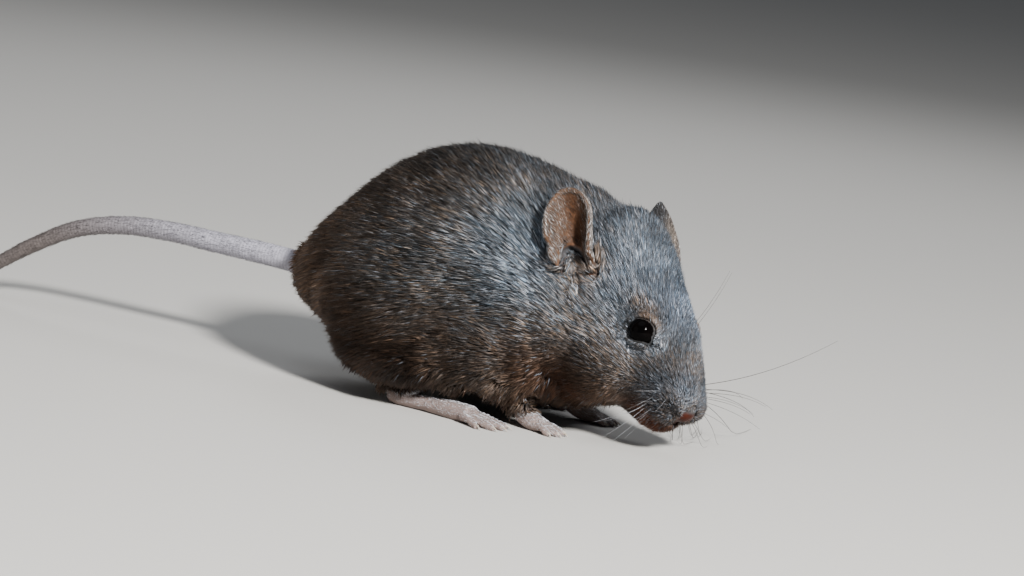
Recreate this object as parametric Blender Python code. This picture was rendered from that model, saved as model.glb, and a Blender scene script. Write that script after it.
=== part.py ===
"""House mouse, life size: a small adult on all fours with its back arched, its head lowered and turned
a little to its right, and its tail held out behind it, down to the floor.

Frame: +X is the way the trunk faces, +Y the animal's left and +Z up. The soles and the tip of the tail
rest on Z = 0. The origin is on that floor, below the middle of the bounding box.
Lengths are in millimetres, and become metres where a mesh is made. The shapes reach the tips of the coat.
"""

import math

import bmesh
import bpy
from mathutils import Matrix, Vector

MM = 0.001
GAP = 0.3  # clearance between neighbouring pieces

# ---- the trunk: stations from tail to neck, as (x, top, widest level, bottom, half width)
TRUNK = [
    (-46.4, 14.4, 12.8, 11.2, 2.0),
    (-45.7, 16.2, 12.6, 9.4, 4.6),
    (-43.4, 19.4, 12.4, 7.8, 7.8),
    (-40.0, 22.9, 12.4, 6.4, 10.4),
    (-35.8, 26.8, 12.6, 4.8, 12.3),
    (-30.6, 29.7, 13.0, 3.4, 13.2),
    (-25.0, 30.9, 13.4, 3.0, 13.0),
    (-19.5, 30.6, 13.8, 2.9, 12.2),
    (-14.5, 29.4, 14.0, 2.8, 11.2),
    (-10.0, 28.2, 14.4, 3.3, 9.8),
    (-6.0, 26.0, 15.0, 5.4, 7.8),
    (-3.0, 21.6, 15.6, 9.4, 4.4),
]

# ---- the head: it has a frame of its own, with the tip of the nose at its origin
NOSE_TIP = Vector((6.75, -3.88, 5.1))
HEAD_YAW, HEAD_PITCH, HEAD_ROLL = -13.5, 30.5, -6.0  # degrees: to the left, nose down, left side up
# Stations from nose to nape, as (distance back, top, widest level, bottom, half width)
HEAD = [
    (-0.1, 1.5, 0.2, -0.7, 1.1),
    (0.2, 2.6, 0.3, -1.2, 2.0),
    (1.2, 4.2, 0.5, -2.0, 2.9),
    (3.5, 5.9, 0.5, -2.8, 4.0),
    (6.5, 7.7, 0.4, -3.9, 5.2),
    (9.5, 9.2, 0.3, -5.1, 6.3),
    (13.0, 10.8, 0.2, -6.5, 7.5),
    (17.0, 12.2, 0.1, -7.8, 8.7),
    (21.0, 12.7, -0.1, -8.3, 9.4),
    (24.5, 10.1, -0.1, -7.1, 7.6),
]
EYE_RADIUS = 1.7
EYE_AT = (8.8, 4.4, 4.7)  # back, out and up from the tip of the nose
NOSE = ((0.2, 0.0, 0.1), (0.95, 1.3, 1.05))  # centre, then radii, both as back, out and up
WHISKER_PAD = ((2.0, 2.2, 0.1), (2.4, 2.0, 2.1))  # centre, then radii, both as back, out and up
JAW = ((5.0, 0.0, -2.4), (4.2, 2.6, 2.3))
CHEEK = ((12.0, 4.4, -1.3), (5.6, 3.6, 4.8))
BROW = ((8.4, 3.2, 4.4), (2.9, 2.3, 2.4))

# ---- the ears: a cup of sheet round an axis, open to the front and the side
EAR_LENGTH, EAR_HALF_WIDTH, EAR_THICK = 11.0, 4.2, 0.6
EAR_ROOT = (17.5, 8.4, 3.8)  # back, out and up
EAR_CURL = (2.2, 3.9)  # radius round the axis at the root and at the tip
EAR_LEAN = {"right": (6.2, 2.3, 7.3), "left": (6.7, 4.8, 5.6)}  # the axis, as back, out and up
EAR_OPENS = {"right": (-0.35, 0.9, 0.1), "left": (-0.8, 0.6, 0.1)}  # the way that the cup faces, likewise

# ---- the legs. Points are (x, distance from the middle plane, z), and feet stand forward by their STEP
SHOULDER = (-15.5, 7.4, 13.0)
ELBOW = (-17.0, 8.6, 6.4)
WRIST = (-12.6, 6.2)  # above the root of the palm
FORELEG_RADII = (3.6, 2.6, 1.55, 1.15, 1.1)  # shoulder, elbow, forearm, wrist and palm
KNEE = (-23.0, 10.4, 7.6)
SHANK = (-29.0, 10.2, 5.8)
HEEL = (-28.0, 8.8)
HINDLEG_RADII = (4.0, 3.3, 1.9, 1.3)  # knee, shank, ankle and heel
HAUNCH_MASS = ((-30.2, 8.2, 11.6), (9.4, 6.2, 8.8))  # centre and radii
SHOULDER_MASS = ((-14.5, 6.6, 12.5), (6.4, 4.6, 8.4))
FORE_STEP = {"right": 0.0, "left": 0.8}
HIND_STEP = {"right": 0.0, "left": -1.5}
FORE_SPLAY, HIND_SPLAY = 6.0, 8.0  # degrees that the toes turn out

# ---- the feet. A palm is stations of (along, across, height, half width)
PALM_FLATNESS = 0.72
FORE_PALM = [(-0.6, 0, 1.5, 1.0), (0.6, 0, 1.0, 1.2), (1.9, 0, 0.85, 1.35), (3.0, 0, 0.75, 1.15)]
HIND_PALM = [
    (-0.8, 0, 1.05, 1.15),
    (0.6, 0, 0.82, 1.3),
    (4.0, 0, 0.88, 1.25),
    (8.0, 0, 0.9, 1.5),
    (10.8, 0, 0.8, 1.6),
]
# A toe is (across its root, length, degrees turned out, radius). The toes of a foot start at its TOE_ROOT
FORE_TOES = [(-0.95, 2.0, -16, 0.44), (-0.34, 2.7, -5, 0.46), (0.34, 2.7, 6, 0.46), (0.98, 2.1, 19, 0.44)]
HIND_TOES = [
    (-1.45, 2.7, -20, 0.48),
    (-0.75, 4.5, -8, 0.52),
    (0.0, 4.8, 0, 0.52),
    (0.75, 4.5, 8, 0.52),
    (1.5, 3.2, 20, 0.48),
]
FORE_TOE_ROOT, HIND_TOE_ROOT = 2.6, 10.4
# The centre line of a toe at its root, two joints and tip: height, and thickness as a share of its radius
TOE_BENDS = [(0.55, 1.0), (0.75, 0.92), (0.5, 0.9), (0.2, 0.8)]

# ---- the tail: a path of (x, y, z), and its radius at the root and at the tip
TAIL_PATH = [
    (-48.8, 0.0, 12.7),
    (-53.5, 0.0, 12.9),
    (-60.0, 0.1, 13.0),
    (-67.0, 0.2, 13.1),
    (-74.0, 0.2, 12.6),
    (-80.5, 0.0, 10.9),
    (-87.0, 0.2, 7.5),
    (-93.0, 1.0, 3.8),
    (-98.5, 2.8, 1.6),
    (-104.0, 5.8, 0.7),
    (-109.5, 9.8, 0.4),
]
TAIL_RADIUS = (1.42, 0.45)
TAIL_SIDES = 8
TAIL_LENGTHS = ("tail_base", "tail_middle", "tail_tip")
TAIL_STUMP = (-43.5, 0.0, 12.2)  # where the furred stump that carries it starts, inside the rump
TAIL_STUMP_RADIUS = 2.3
TAIL_TAPER = 1.6  # the power by which it thins: thick for longer when higher

# ---- how the flesh is parted
ANKLE_LEVEL = 2.2
# Each leg is what lies in an ellipsoid: its centre from the root of the foot, and its radii, as along, out, up
HINDLEG_REGION = ((-1.0, 2.2, 8.6), (11.2, 6.6, 10.4))
FORELEG_REGION = ((-2.6, 2.8, 6.6), (6.0, 5.6, 7.6))
NAPE = (-9.6, 0.0, 15.0)  # a point between the head and the neck
SHOULDERS = (-15.6, 0.0, 15.0)  # a point between the neck and the trunk
NECK_WAY = (-1.0, 0.2, -0.25)  # the normal of both cuts

# ---- how fine the meshes are
BALL_RINGS, CUT_RINGS = 9, 12
BODY_VOXEL, FOOT_VOXEL = 0.55, 0.22
BODY_SMOOTHING, FOOT_SMOOTHING = 9, 2
EAR_ROWS, EAR_COLUMNS = 10, 9
BODY_TRIANGLES, FOOT_TRIANGLES = 2800, 400

SIDES = {"right": -1, "left": 1}

# ---- colours and roughness
COAT = ((0.085, 0.078, 0.072), 0.9)
FACE_COAT = ((0.13, 0.125, 0.12), 0.9)
BARE_SKIN = ((0.33, 0.24, 0.22), 0.6)
FOOT_SKIN = ((0.5, 0.44, 0.4), 0.6)
NOSE_SKIN = ((0.36, 0.14, 0.09), 0.4)
EYE_BLACK = ((0.006, 0.005, 0.005), 0.08)


# ---------------------------------------------------------------- materials
def paint(obj, colour, roughness):
    """Gives the object a plain material of its own."""
    material = bpy.data.materials.new(obj.name)
    material.use_nodes = True
    surface = material.node_tree.nodes["Principled BSDF"]
    surface.inputs["Base Color"].default_value = (*colour, 1)
    surface.inputs["Roughness"].default_value = roughness
    obj.data.materials.clear()
    obj.data.materials.append(material)


# ---------------------------------------------------------------- shapes, all from millimetres
def smooth_rows(rows, steps):
    """Rows of numbers with steps for each span, on a Catmull-Rom curve through the given ones."""
    ends = [rows[0], *rows, rows[-1]]
    made = []
    for span in zip(ends, ends[1:], ends[2:], ends[3:]):
        for step in range(steps):
            t = step / steps
            weights = (
                (-(t**3) + 2 * t**2 - t) / 2,
                (3 * t**3 - 5 * t**2 + 2) / 2,
                (-3 * t**3 + 4 * t**2 + t) / 2,
                (t**3 - t**2) / 2,
            )
            made.append([sum(w * value for w, value in zip(weights, values)) for values in zip(*span)])
    return [*made, list(rows[-1])]


def object_from(name, bm):
    bmesh.ops.recalc_face_normals(bm, faces=bm.faces)
    mesh = bpy.data.meshes.new(name)
    bm.to_mesh(mesh)
    bm.free()
    obj = bpy.data.objects.new(name, mesh)
    bpy.context.scene.collection.objects.link(obj)
    return obj


def solid_of_rings(name, rings):
    """A closed solid through rings with the same number of points."""
    bm = bmesh.new()
    rows = [[bm.verts.new(Vector(point) * MM) for point in ring] for ring in rings]
    for row, following in zip(rows, rows[1:]):
        for i in range(len(row)):
            bm.faces.new((row[i - 1], row[i], following[i], following[i - 1]))
    bm.faces.new(rows[0])
    bm.faces.new(rows[-1])
    return object_from(name, bm)


def loft(name, stations, place, sides=36):
    """A body through oval sections. place turns (distance, across, up) into a point."""
    rings = []
    for along, top, middle, bottom, half in smooth_rows(stations, 4):
        ring = []
        for i in range(sides):
            angle = 2 * math.pi * i / sides
            reach = top - middle if math.sin(angle) > 0 else middle - bottom
            ring.append(place(along, half * math.cos(angle), middle + reach * math.sin(angle)))
        rings.append(ring)
    return solid_of_rings(name, rings)


def tube(name, path, radii, sides=14, flatten=1.0):
    """A tube along a smooth path. radii has one value for each point, and flatten squashes it in Z."""
    rows = smooth_rows([(*point, radius) for point, radius in zip(path, radii)], 4)
    points = [Vector(row[:3]) for row in rows]
    rings = []
    for i, (point, row) in enumerate(zip(points, rows)):
        tangent = (points[min(i + 1, len(points) - 1)] - points[max(i - 1, 0)]).normalized()
        across = tangent.cross(Vector((0, 0, 1)))
        across = across.normalized() if across.length > 1e-3 else Vector((0, 1, 0))
        rise = across.cross(tangent)
        ring = []
        for k in range(sides):
            angle = 2 * math.pi * k / sides
            ring.append(point + row[3] * (math.cos(angle) * across + math.sin(angle) * flatten * rise))
        rings.append(ring)
    return solid_of_rings(name, rings)


def ellipsoid(name, centre, radii, turn=None, rings=24):
    bm = bmesh.new()
    bmesh.ops.create_uvsphere(bm, u_segments=rings * 4 // 3, v_segments=rings, radius=1)
    matrix = Matrix.Translation(Vector(centre) * MM)
    if turn:
        matrix = matrix @ turn.to_4x4()
    matrix = matrix @ Matrix.Diagonal((*(Vector(radii) * MM), 1))
    bmesh.ops.transform(bm, matrix=matrix, verts=bm.verts)
    return object_from(name, bm)


# ---------------------------------------------------------------- tools on objects
def settle(obj):
    """Replaces the object's mesh with the one that its modifiers make."""
    graph = bpy.context.evaluated_depsgraph_get()
    made = bpy.data.meshes.new_from_object(obj.evaluated_get(graph))
    obj.modifiers.clear()
    obj.data = made
    return obj


def copy_of(obj, name):
    copy = bpy.data.objects.new(name, obj.data.copy())
    bpy.context.scene.collection.objects.link(copy)
    return copy


def remove(*objects):
    for obj in objects:
        bpy.data.objects.remove(obj)


def fuse(name, pieces, voxel, smoothing, triangles):
    """The pieces as one skin: joined, remeshed, smoothed, and thinned to about so many triangles."""
    bm = bmesh.new()
    for piece in pieces:
        bm.from_mesh(piece.data)
    fused = object_from(name, bm)
    remove(*pieces)
    remesh = fused.modifiers.new("remesh", "REMESH")
    remesh.mode = "VOXEL"
    remesh.voxel_size = voxel * MM
    smooth = fused.modifiers.new("smooth", "SMOOTH")
    smooth.factor = 0.5
    smooth.iterations = smoothing
    settle(fused)
    thin = fused.modifiers.new("thin", "DECIMATE")
    thin.ratio = triangles / (2 * len(fused.data.polygons))
    return settle(fused)


def combine(obj, other, operation):
    boolean = obj.modifiers.new(operation.lower(), "BOOLEAN")
    boolean.operation = operation
    boolean.solver = "EXACT"
    boolean.object = other
    return settle(obj)


def trim(obj, point, normal):
    """Cuts away what lies beyond the plane, on the side that the normal points to, and closes the cut."""
    bm = bmesh.new()
    bm.from_mesh(obj.data)
    cut = bmesh.ops.bisect_plane(
        bm,
        geom=[*bm.verts, *bm.edges, *bm.faces],
        plane_co=Vector(point) * MM,
        plane_no=normal,
        clear_outer=True,
    )
    edges = [e for e in cut["geom_cut"] if isinstance(e, bmesh.types.BMEdge)]
    bmesh.ops.holes_fill(bm, edges=edges)
    bmesh.ops.recalc_face_normals(bm, faces=bm.faces)
    bm.to_mesh(obj.data)
    bm.free()
    return obj


def part(obj, name, point, normal):
    """Parts the object at a plane. It keeps the near side, and returns what lies beyond as a new object."""
    beyond = copy_of(obj, name)
    normal = Vector(normal).normalized()
    trim(obj, Vector(point) - normal * GAP / 2, normal)
    trim(beyond, Vector(point) + normal * GAP / 2, -normal)
    return beyond


# ---------------------------------------------------------------- the head's frame
HEAD_TURN = (
    Matrix.Rotation(math.radians(HEAD_YAW), 3, "Z")
    @ Matrix.Rotation(math.radians(HEAD_PITCH), 3, "Y")
    @ Matrix.Rotation(math.radians(HEAD_ROLL), 3, "X")
)


def head_direction(back, across, up):
    """A direction given in the head's frame: away from the nose, to the animal's left, and up."""
    return HEAD_TURN @ Vector((-back, across, up))


def head_point(back, across, up):
    return NOSE_TIP + head_direction(back, across, up)


def head_mass(name, centre, radii, side=0):
    """An ellipsoid on the head. side is 1 on the left, -1 on the right and 0 in the middle."""
    back, out, up = centre
    return ellipsoid(name, head_point(back, out * side, up), radii, HEAD_TURN)


# ---------------------------------------------------------------- the pieces
def mirrored(point, side):
    """A point given on the left, as it is on this side."""
    x, out, z = point
    return Vector((x, SIDES[side] * out, z))


def forefoot_frame(side):
    """The root of the forefoot on the floor, and its turn."""
    x, out = WRIST
    return mirrored((x + FORE_STEP[side], out, 0), side), math.radians(FORE_SPLAY) * SIDES[side]


def hindfoot_frame(side):
    x, out = HEEL
    return mirrored((x + HIND_STEP[side], out, 0), side), math.radians(HIND_SPLAY) * SIDES[side]


def on_foot(frame, along, out, up, side):
    """A point on a foot: along the foot, out from the body's middle plane, and up from the floor."""
    origin, angle = frame
    return origin + Matrix.Rotation(angle, 3, "Z") @ mirrored((along, out, up), side)


def foreleg(side):
    """The foreleg's path from the shoulder to the palm, and its radii."""
    frame = forefoot_frame(side)
    wrist = on_foot(frame, 0, 0, 2.4, side)
    elbow = mirrored(ELBOW, side) + Vector((0.6 * FORE_STEP[side], 0, 0))
    palm = on_foot(frame, 1.2, 0, 0.9, side)
    return [mirrored(SHOULDER, side), elbow, elbow.lerp(wrist, 0.6), wrist, palm], FORELEG_RADII


def hindleg(side):
    """The shank's path from the knee to the heel, and its radii."""
    frame = hindfoot_frame(side)
    ankle = on_foot(frame, -1.2, 0.2, 3.8, side)
    heel = on_foot(frame, 0.4, 0, 1.5, side)
    return [mirrored(KNEE, side), mirrored(SHANK, side), ankle, heel], HINDLEG_RADII


def make_foot(side, name, frame, palm, toes, toe_root, leg):
    """A foot of a flattened palm, toes that end in round tips, and the leg's end above its root."""
    places = [on_foot(frame, *station[:3], side) for station in palm]
    pieces = [
        tube("palm", places, [station[3] for station in palm], flatten=PALM_FLATNESS),
        tube("leg", *leg),
    ]
    for out, length, turned, radius in toes:
        heading = math.radians(turned)
        path = []
        for joint, (height, thickness) in enumerate(TOE_BENDS):
            reach = length * joint / (len(TOE_BENDS) - 1)
            along = toe_root + reach * math.cos(heading)
            path.append(on_foot(frame, along, out + reach * math.sin(heading), height, side))
        radii = [radius * thickness for height, thickness in TOE_BENDS]
        pieces.append(tube("toe", path, radii, sides=10))
        pieces.append(ellipsoid("pad", path[-1], (radius,) * 3, rings=10))
    foot = fuse(name, pieces, FOOT_VOXEL, FOOT_SMOOTHING, FOOT_TRIANGLES)
    trim(foot, (0, 0, 0), (0, 0, -1))
    return trim(foot, (0, 0, ANKLE_LEVEL - GAP / 2), (0, 0, 1))


def make_feet():
    feet = []
    for side in SIDES:
        fore = forefoot_frame(side)
        hind = hindfoot_frame(side)
        feet += [
            make_foot(side, f"forefoot_{side}", fore, FORE_PALM, FORE_TOES, FORE_TOE_ROOT, foreleg(side)),
            make_foot(side, f"hindfoot_{side}", hind, HIND_PALM, HIND_TOES, HIND_TOE_ROOT, hindleg(side)),
        ]
    return feet


def ear_point(side, height, turn):
    """A point on the ear's cup: height is 0 at its root and 1 at its tip, turn the angle round its axis."""
    across = SIDES[side]
    back, out, up = EAR_LEAN[side]
    opens = EAR_OPENS[side]
    axis = head_direction(back, out * across, up).normalized()
    facing = head_direction(opens[0], opens[1] * across, opens[2])
    facing = (facing - facing.project(axis)).normalized()
    sideways = axis.cross(facing) * across
    curl = EAR_CURL[0] + (EAR_CURL[1] - EAR_CURL[0]) * height
    root = head_point(EAR_ROOT[0], EAR_ROOT[1] * across, EAR_ROOT[2])
    centre = root + axis * EAR_LENGTH * height + facing * (EAR_CURL[0] * 0.4 + 1.6 * height**2)
    return centre + curl * (math.sin(turn) * sideways - math.cos(turn) * facing)


def ear_half_turn(height):
    """Half the angle that the cup covers: wide at the root, widest above the middle, nothing at the tip."""
    outline = 0.46 + 1.08 * height - 0.56 * height**2
    rounding = math.sqrt(max(0.0, 1 - max(0.0, (height - 0.45) / 0.55) ** 2.4))
    curl = EAR_CURL[0] + (EAR_CURL[1] - EAR_CURL[0]) * height
    return EAR_HALF_WIDTH * outline * rounding / curl


def make_ear(side):
    bm = bmesh.new()
    grid = []
    for j in range(EAR_ROWS):
        height = math.sin(math.pi / 2 * j / (EAR_ROWS - 0.6))
        half = ear_half_turn(height)
        turns = [half * (2 * i / EAR_COLUMNS - 1) for i in range(EAR_COLUMNS + 1)]
        grid.append([bm.verts.new(ear_point(side, height, turn) * MM) for turn in turns])
    for row, following in zip(grid, grid[1:]):
        for i in range(EAR_COLUMNS):
            bm.faces.new((row[i], row[i + 1], following[i + 1], following[i]))
    ear = object_from(f"ear_{side}", bm)
    wall = ear.modifiers.new("wall", "SOLIDIFY")
    wall.thickness = EAR_THICK * MM
    wall.offset = 0
    return settle(ear)


def tail_pieces():
    """The tail in lengths, with a gap between each two and a small flat under its tip."""
    rows = smooth_rows([(*point, 0) for point in TAIL_PATH], 4)
    points = [Vector(row[:3]) for row in rows]
    share = len(points) - 1
    pieces = []
    starts = [round(share * i / len(TAIL_LENGTHS)) for i in range(len(TAIL_LENGTHS) + 1)]
    for name, first, last in zip(TAIL_LENGTHS, starts, starts[1:]):
        path = points[first : last + 1]
        if last < share:
            path[-1] = path[-1] - (path[-1] - path[-2]).normalized() * GAP
        radii = [
            TAIL_RADIUS[0] + (TAIL_RADIUS[1] - TAIL_RADIUS[0]) * (i / share) ** TAIL_TAPER
            for i in range(first, last + 1)
        ]
        rings = []
        for i, (point, radius) in enumerate(zip(path, radii)):
            tangent = (path[min(i + 1, len(path) - 1)] - path[max(i - 1, 0)]).normalized()
            across = tangent.cross(Vector((0, 0, 1))).normalized()
            rise = across.cross(tangent)
            angles = [2 * math.pi * (k + 0.5) / TAIL_SIDES for k in range(TAIL_SIDES)]
            rings.append([point + radius * (math.cos(a) * across + math.sin(a) * rise) for a in angles])
        pieces.append(solid_of_rings(name, rings))
    trim(pieces[-1], (0, 0, 0), (0, 0, -1))
    return pieces


def make_body():
    """All the flesh above the ankles but the ears, as one solid."""
    pieces = [
        loft("trunk_loft", TRUNK, lambda x, across, up: Vector((x, across, up))),
        loft("head_loft", HEAD, head_point),
        tube("stump", (TAIL_STUMP, *TAIL_PATH[:2]), (TAIL_STUMP_RADIUS, TAIL_RADIUS[0], TAIL_RADIUS[0])),
        head_mass("jaw", *JAW),
    ]
    for side, across in SIDES.items():
        pieces += [
            head_mass("whisker_pad", *WHISKER_PAD, across),
            head_mass("cheek", *CHEEK, across),
            head_mass("brow", *BROW, across),
            ellipsoid("haunch", mirrored(HAUNCH_MASS[0], side), HAUNCH_MASS[1]),
            ellipsoid("shoulder", mirrored(SHOULDER_MASS[0], side), SHOULDER_MASS[1]),
            tube("foreleg", *foreleg(side)),
            tube("shank", *hindleg(side)),
        ]
    return fuse("whole", pieces, BODY_VOXEL, BODY_SMOOTHING, BODY_TRIANGLES)


def grow(obj, distance):
    """A copy of the object that is larger all round."""
    grown = copy_of(obj, obj.name + "_grown")
    swell = grown.modifiers.new("swell", "DISPLACE")
    swell.mid_level = 0
    swell.strength = distance * MM
    return settle(grown)


def split_off(body, name, centre, radii):
    """Takes the part of the body that lies in an ellipsoid, as a piece of its own with a gap round it."""
    inner = ellipsoid(name + "_inner", centre, radii, rings=CUT_RINGS)
    outer = ellipsoid(name + "_outer", centre, [radius + GAP for radius in radii], rings=CUT_RINGS)
    piece = combine(copy_of(body, name), inner, "INTERSECT")
    combine(body, outer, "DIFFERENCE")
    remove(inner, outer)
    return piece


def make_eyes():
    back, out, up = EYE_AT
    return [
        ellipsoid(f"eye_{side}", head_point(back, out * across, up), (EYE_RADIUS,) * 3, rings=BALL_RINGS)
        for side, across in SIDES.items()
    ]


def make_nose():
    centre, radii = NOSE
    return ellipsoid("nose", head_point(*centre), radii, HEAD_TURN, rings=BALL_RINGS)


def make_ears(body):
    """The two ears, trimmed so that they start just clear of the body."""
    ears = [make_ear(side) for side in SIDES]
    clearance = grow(body, GAP)
    for ear in ears:
        combine(ear, clearance, "DIFFERENCE")
    remove(clearance)
    return ears


def split_legs(body):
    """Parts the four legs from the body, above the ankles."""
    legs = []
    for side, across in SIDES.items():
        for name, frame, (centre, radii) in (
            ("hindleg", hindfoot_frame(side), HINDLEG_REGION),
            ("foreleg", forefoot_frame(side), FORELEG_REGION),
        ):
            along, out, up = centre
            middle = frame[0] + Vector((along, across * out, up))
            legs.append(split_off(body, f"{name}_{side}", middle, radii))
    return legs


def centre(objects):
    """Moves everything so that the origin lies below the middle of the bounding box."""
    points = [vertex.co for obj in objects for vertex in obj.data.vertices]
    middle = [(min(p[axis] for p in points) + max(p[axis] for p in points)) / 2 for axis in range(2)]
    shift = Matrix.Translation((-middle[0], -middle[1], 0))
    for obj in objects:
        obj.data.transform(shift)


def main():
    for obj in list(bpy.data.objects):
        bpy.data.objects.remove(obj)
    body = make_body()
    tail_start = Vector(TAIL_PATH[0])
    tail_way = (Vector(TAIL_PATH[1]) - tail_start).normalized()
    trim(body, tail_start - tail_way * GAP, tail_way)
    trim(body, (0, 0, ANKLE_LEVEL + GAP / 2), (0, 0, -1))

    ears = make_ears(body)
    legs = split_legs(body)
    trunk = body
    neck = part(trunk, "neck", SHOULDERS, -Vector(NECK_WAY))
    head = part(neck, "head", NAPE, -Vector(NECK_WAY))
    trunk.name = "trunk"
    eyes = make_eyes()
    nose = make_nose()
    for ball in (nose, *eyes):
        socket = grow(ball, GAP)
        combine(head, socket, "DIFFERENCE")
        remove(socket)
    feet = make_feet()
    tail = tail_pieces()

    looks = (
        ([trunk, neck, *legs], COAT),
        ([head], FACE_COAT),
        ([*ears, *tail], BARE_SKIN),
        (feet, FOOT_SKIN),
        ([nose], NOSE_SKIN),
        (eyes, EYE_BLACK),
    )
    for objects, (colour, roughness) in looks:
        for obj in objects:
            paint(obj, colour, roughness)
    centre([obj for objects, look in looks for obj in objects])


main()
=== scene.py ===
import math

import bpy
import numpy as np
from mathutils import Matrix, Vector, noise
from mathutils.bvhtree import BVHTree
from mathutils.kdtree import KDTree


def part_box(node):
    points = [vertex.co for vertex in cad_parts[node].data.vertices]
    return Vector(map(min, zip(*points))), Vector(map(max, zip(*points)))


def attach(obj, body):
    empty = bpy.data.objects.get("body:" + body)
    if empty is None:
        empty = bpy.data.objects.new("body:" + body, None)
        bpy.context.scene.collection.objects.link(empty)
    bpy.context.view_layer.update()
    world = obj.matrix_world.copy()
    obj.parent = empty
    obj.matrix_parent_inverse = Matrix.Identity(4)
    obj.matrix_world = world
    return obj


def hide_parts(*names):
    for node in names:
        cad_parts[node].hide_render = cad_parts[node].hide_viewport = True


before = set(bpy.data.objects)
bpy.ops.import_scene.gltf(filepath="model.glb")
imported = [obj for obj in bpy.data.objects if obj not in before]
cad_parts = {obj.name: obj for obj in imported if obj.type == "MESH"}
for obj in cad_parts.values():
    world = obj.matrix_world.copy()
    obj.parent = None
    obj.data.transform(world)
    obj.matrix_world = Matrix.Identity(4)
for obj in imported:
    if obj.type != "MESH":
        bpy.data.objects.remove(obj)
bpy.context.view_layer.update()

# A house mouse, life size. Lengths in the dictionaries are in millimetres and angles in degrees.
mm = 0.001
sides = {"right": -1, "left": 1}


# general tools

def deselectAll():
    if bpy.context.object and bpy.context.object.mode != "OBJECT":
        bpy.ops.object.mode_set(mode="OBJECT")
    bpy.ops.object.select_all(action="DESELECT")


def pick(*objects):
    deselectAll()
    for obj in objects:
        obj.select_set(True)
    bpy.context.view_layer.objects.active = objects[0]
    return objects[0]


def addObject(name, data):
    obj = bpy.data.objects.new(name, data)
    bpy.context.scene.collection.objects.link(obj)
    return obj


def inEditMode(obj, operator, **values):
    # runs one operator on the whole of a mesh
    pick(obj)
    bpy.ops.object.mode_set(mode="EDIT")
    bpy.ops.mesh.select_all(action="SELECT")
    operator(**values)
    bpy.ops.object.mode_set(mode="OBJECT")


def applyModifier(obj, kind, **values):
    pick(obj)
    modifier = obj.modifiers.new(kind.lower(), kind)
    for name, value in values.items():
        setattr(modifier, name, value)
    bpy.ops.object.modifier_apply(modifier=modifier.name)


def settle(obj):
    pick(obj)
    bpy.ops.object.transform_apply(location=True, rotation=True, scale=True)
    return obj


def smoothShade(obj):
    pick(obj)
    bpy.ops.object.shade_smooth()


def joined(name, pieces):
    obj = pick(*pieces)
    bpy.ops.object.join()
    obj.name = name
    obj.data.name = name
    return obj


def readPoints(mesh):
    points = np.empty(len(mesh.vertices) * 3, np.float32)
    mesh.vertices.foreach_get("co", points)
    return points.reshape(-1, 3).astype(float) / mm


def writePoints(mesh, points):
    mesh.vertices.foreach_set("co", (points * mm).astype(np.float32).ravel())
    mesh.update()


def readNormals(mesh):
    normals = np.empty(len(mesh.vertices) * 3, np.float32)
    mesh.vertex_normals.foreach_get("vector", normals)
    return normals.reshape(-1, 3).astype(float)


def readEdges(mesh):
    edges = np.empty(len(mesh.edges) * 2, np.int32)
    mesh.edges.foreach_get("vertices", edges)
    return edges.reshape(-1, 2)


def readTriangles(mesh):
    corners = np.empty(len(mesh.polygons) * 3, np.int32)
    mesh.polygons.foreach_get("vertices", corners)
    return corners.reshape(-1, 3)


def blur(values, edges, rounds):
    # averages a value over each point's neighbours, so many times
    values = np.array(values, float)
    flat = values.reshape(len(values), -1)
    first, second = edges.T
    count = len(flat)
    share = np.bincount(first, minlength=count) + np.bincount(second, minlength=count) + 1.0
    for step in range(rounds):
        for column in range(flat.shape[1]):
            value = flat[:, column]
            around = np.bincount(first, value[second], count) + np.bincount(second, value[first], count)
            flat[:, column] = (value + around) / share
    return flat.reshape(values.shape)


def unit(vectors):
    return vectors / np.maximum(np.linalg.norm(vectors, axis=-1, keepdims=True), 1e-9)


def far(points, place):
    # how far each point lies from a place
    return np.linalg.norm(points - place, axis=1)


def smoothStep(low, high, value):
    t = np.clip((value - low) / (high - low), 0, 1)
    return t * t * (3 - 2 * t)


def hump(distance, width):
    # 1 in the middle, falling softly to nothing
    return np.exp(-((distance / width) ** 2))


def mixed(first, second, share):
    return first * (1 - share) + second * share


def boxCentre(node):
    low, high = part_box(node)
    return np.array((low + high) / 2) / mm


# the head's own frame: back from the nose, across to the left, up
headPose = {"yaw": -13.5, "pitch": 30.5, "roll": -6.0, "noseBehindTip": (-0.2, 0.0, 0.1)}
headTurn = np.array(
    Matrix.Rotation(math.radians(headPose["yaw"]), 3, "Z")
    @ Matrix.Rotation(math.radians(headPose["pitch"]), 3, "Y")
    @ Matrix.Rotation(math.radians(headPose["roll"]), 3, "X")
)
noseTip = boxCentre("nose") - headTurn @ np.array(headPose["noseBehindTip"])
eyeAt = {side: boxCentre("eye_" + side) for side in sides}


def headDirection(back, across, up):
    return headTurn @ np.array((-back, across, up))


def headPoint(back, across, up):
    return noseTip + headDirection(back, across, up)


def inHead(points):
    # points as back, across and up
    local = (points - noseTip) @ headTurn
    local[:, 0] *= -1
    return local


# camera, floor and lights

def wayFrom(azimuth, elevation):
    # the way to a camera or a light, from the animal's right side round to its front
    azimuth, elevation = math.radians(azimuth), math.radians(elevation)
    level = math.cos(elevation)
    return Vector((math.sin(azimuth) * level, -math.cos(azimuth) * level, math.sin(elevation)))


cameraSetup = {
    "azimuth": 25, "elevation": 8, "roll": 8, "distance": 400, "lens": 122.34, "sensor": 36, "nearest": 10,
    "fromEye": (-1.0041, 1.4955, -0.1901), "right": -14.71, "up": 4.943,
}


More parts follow.
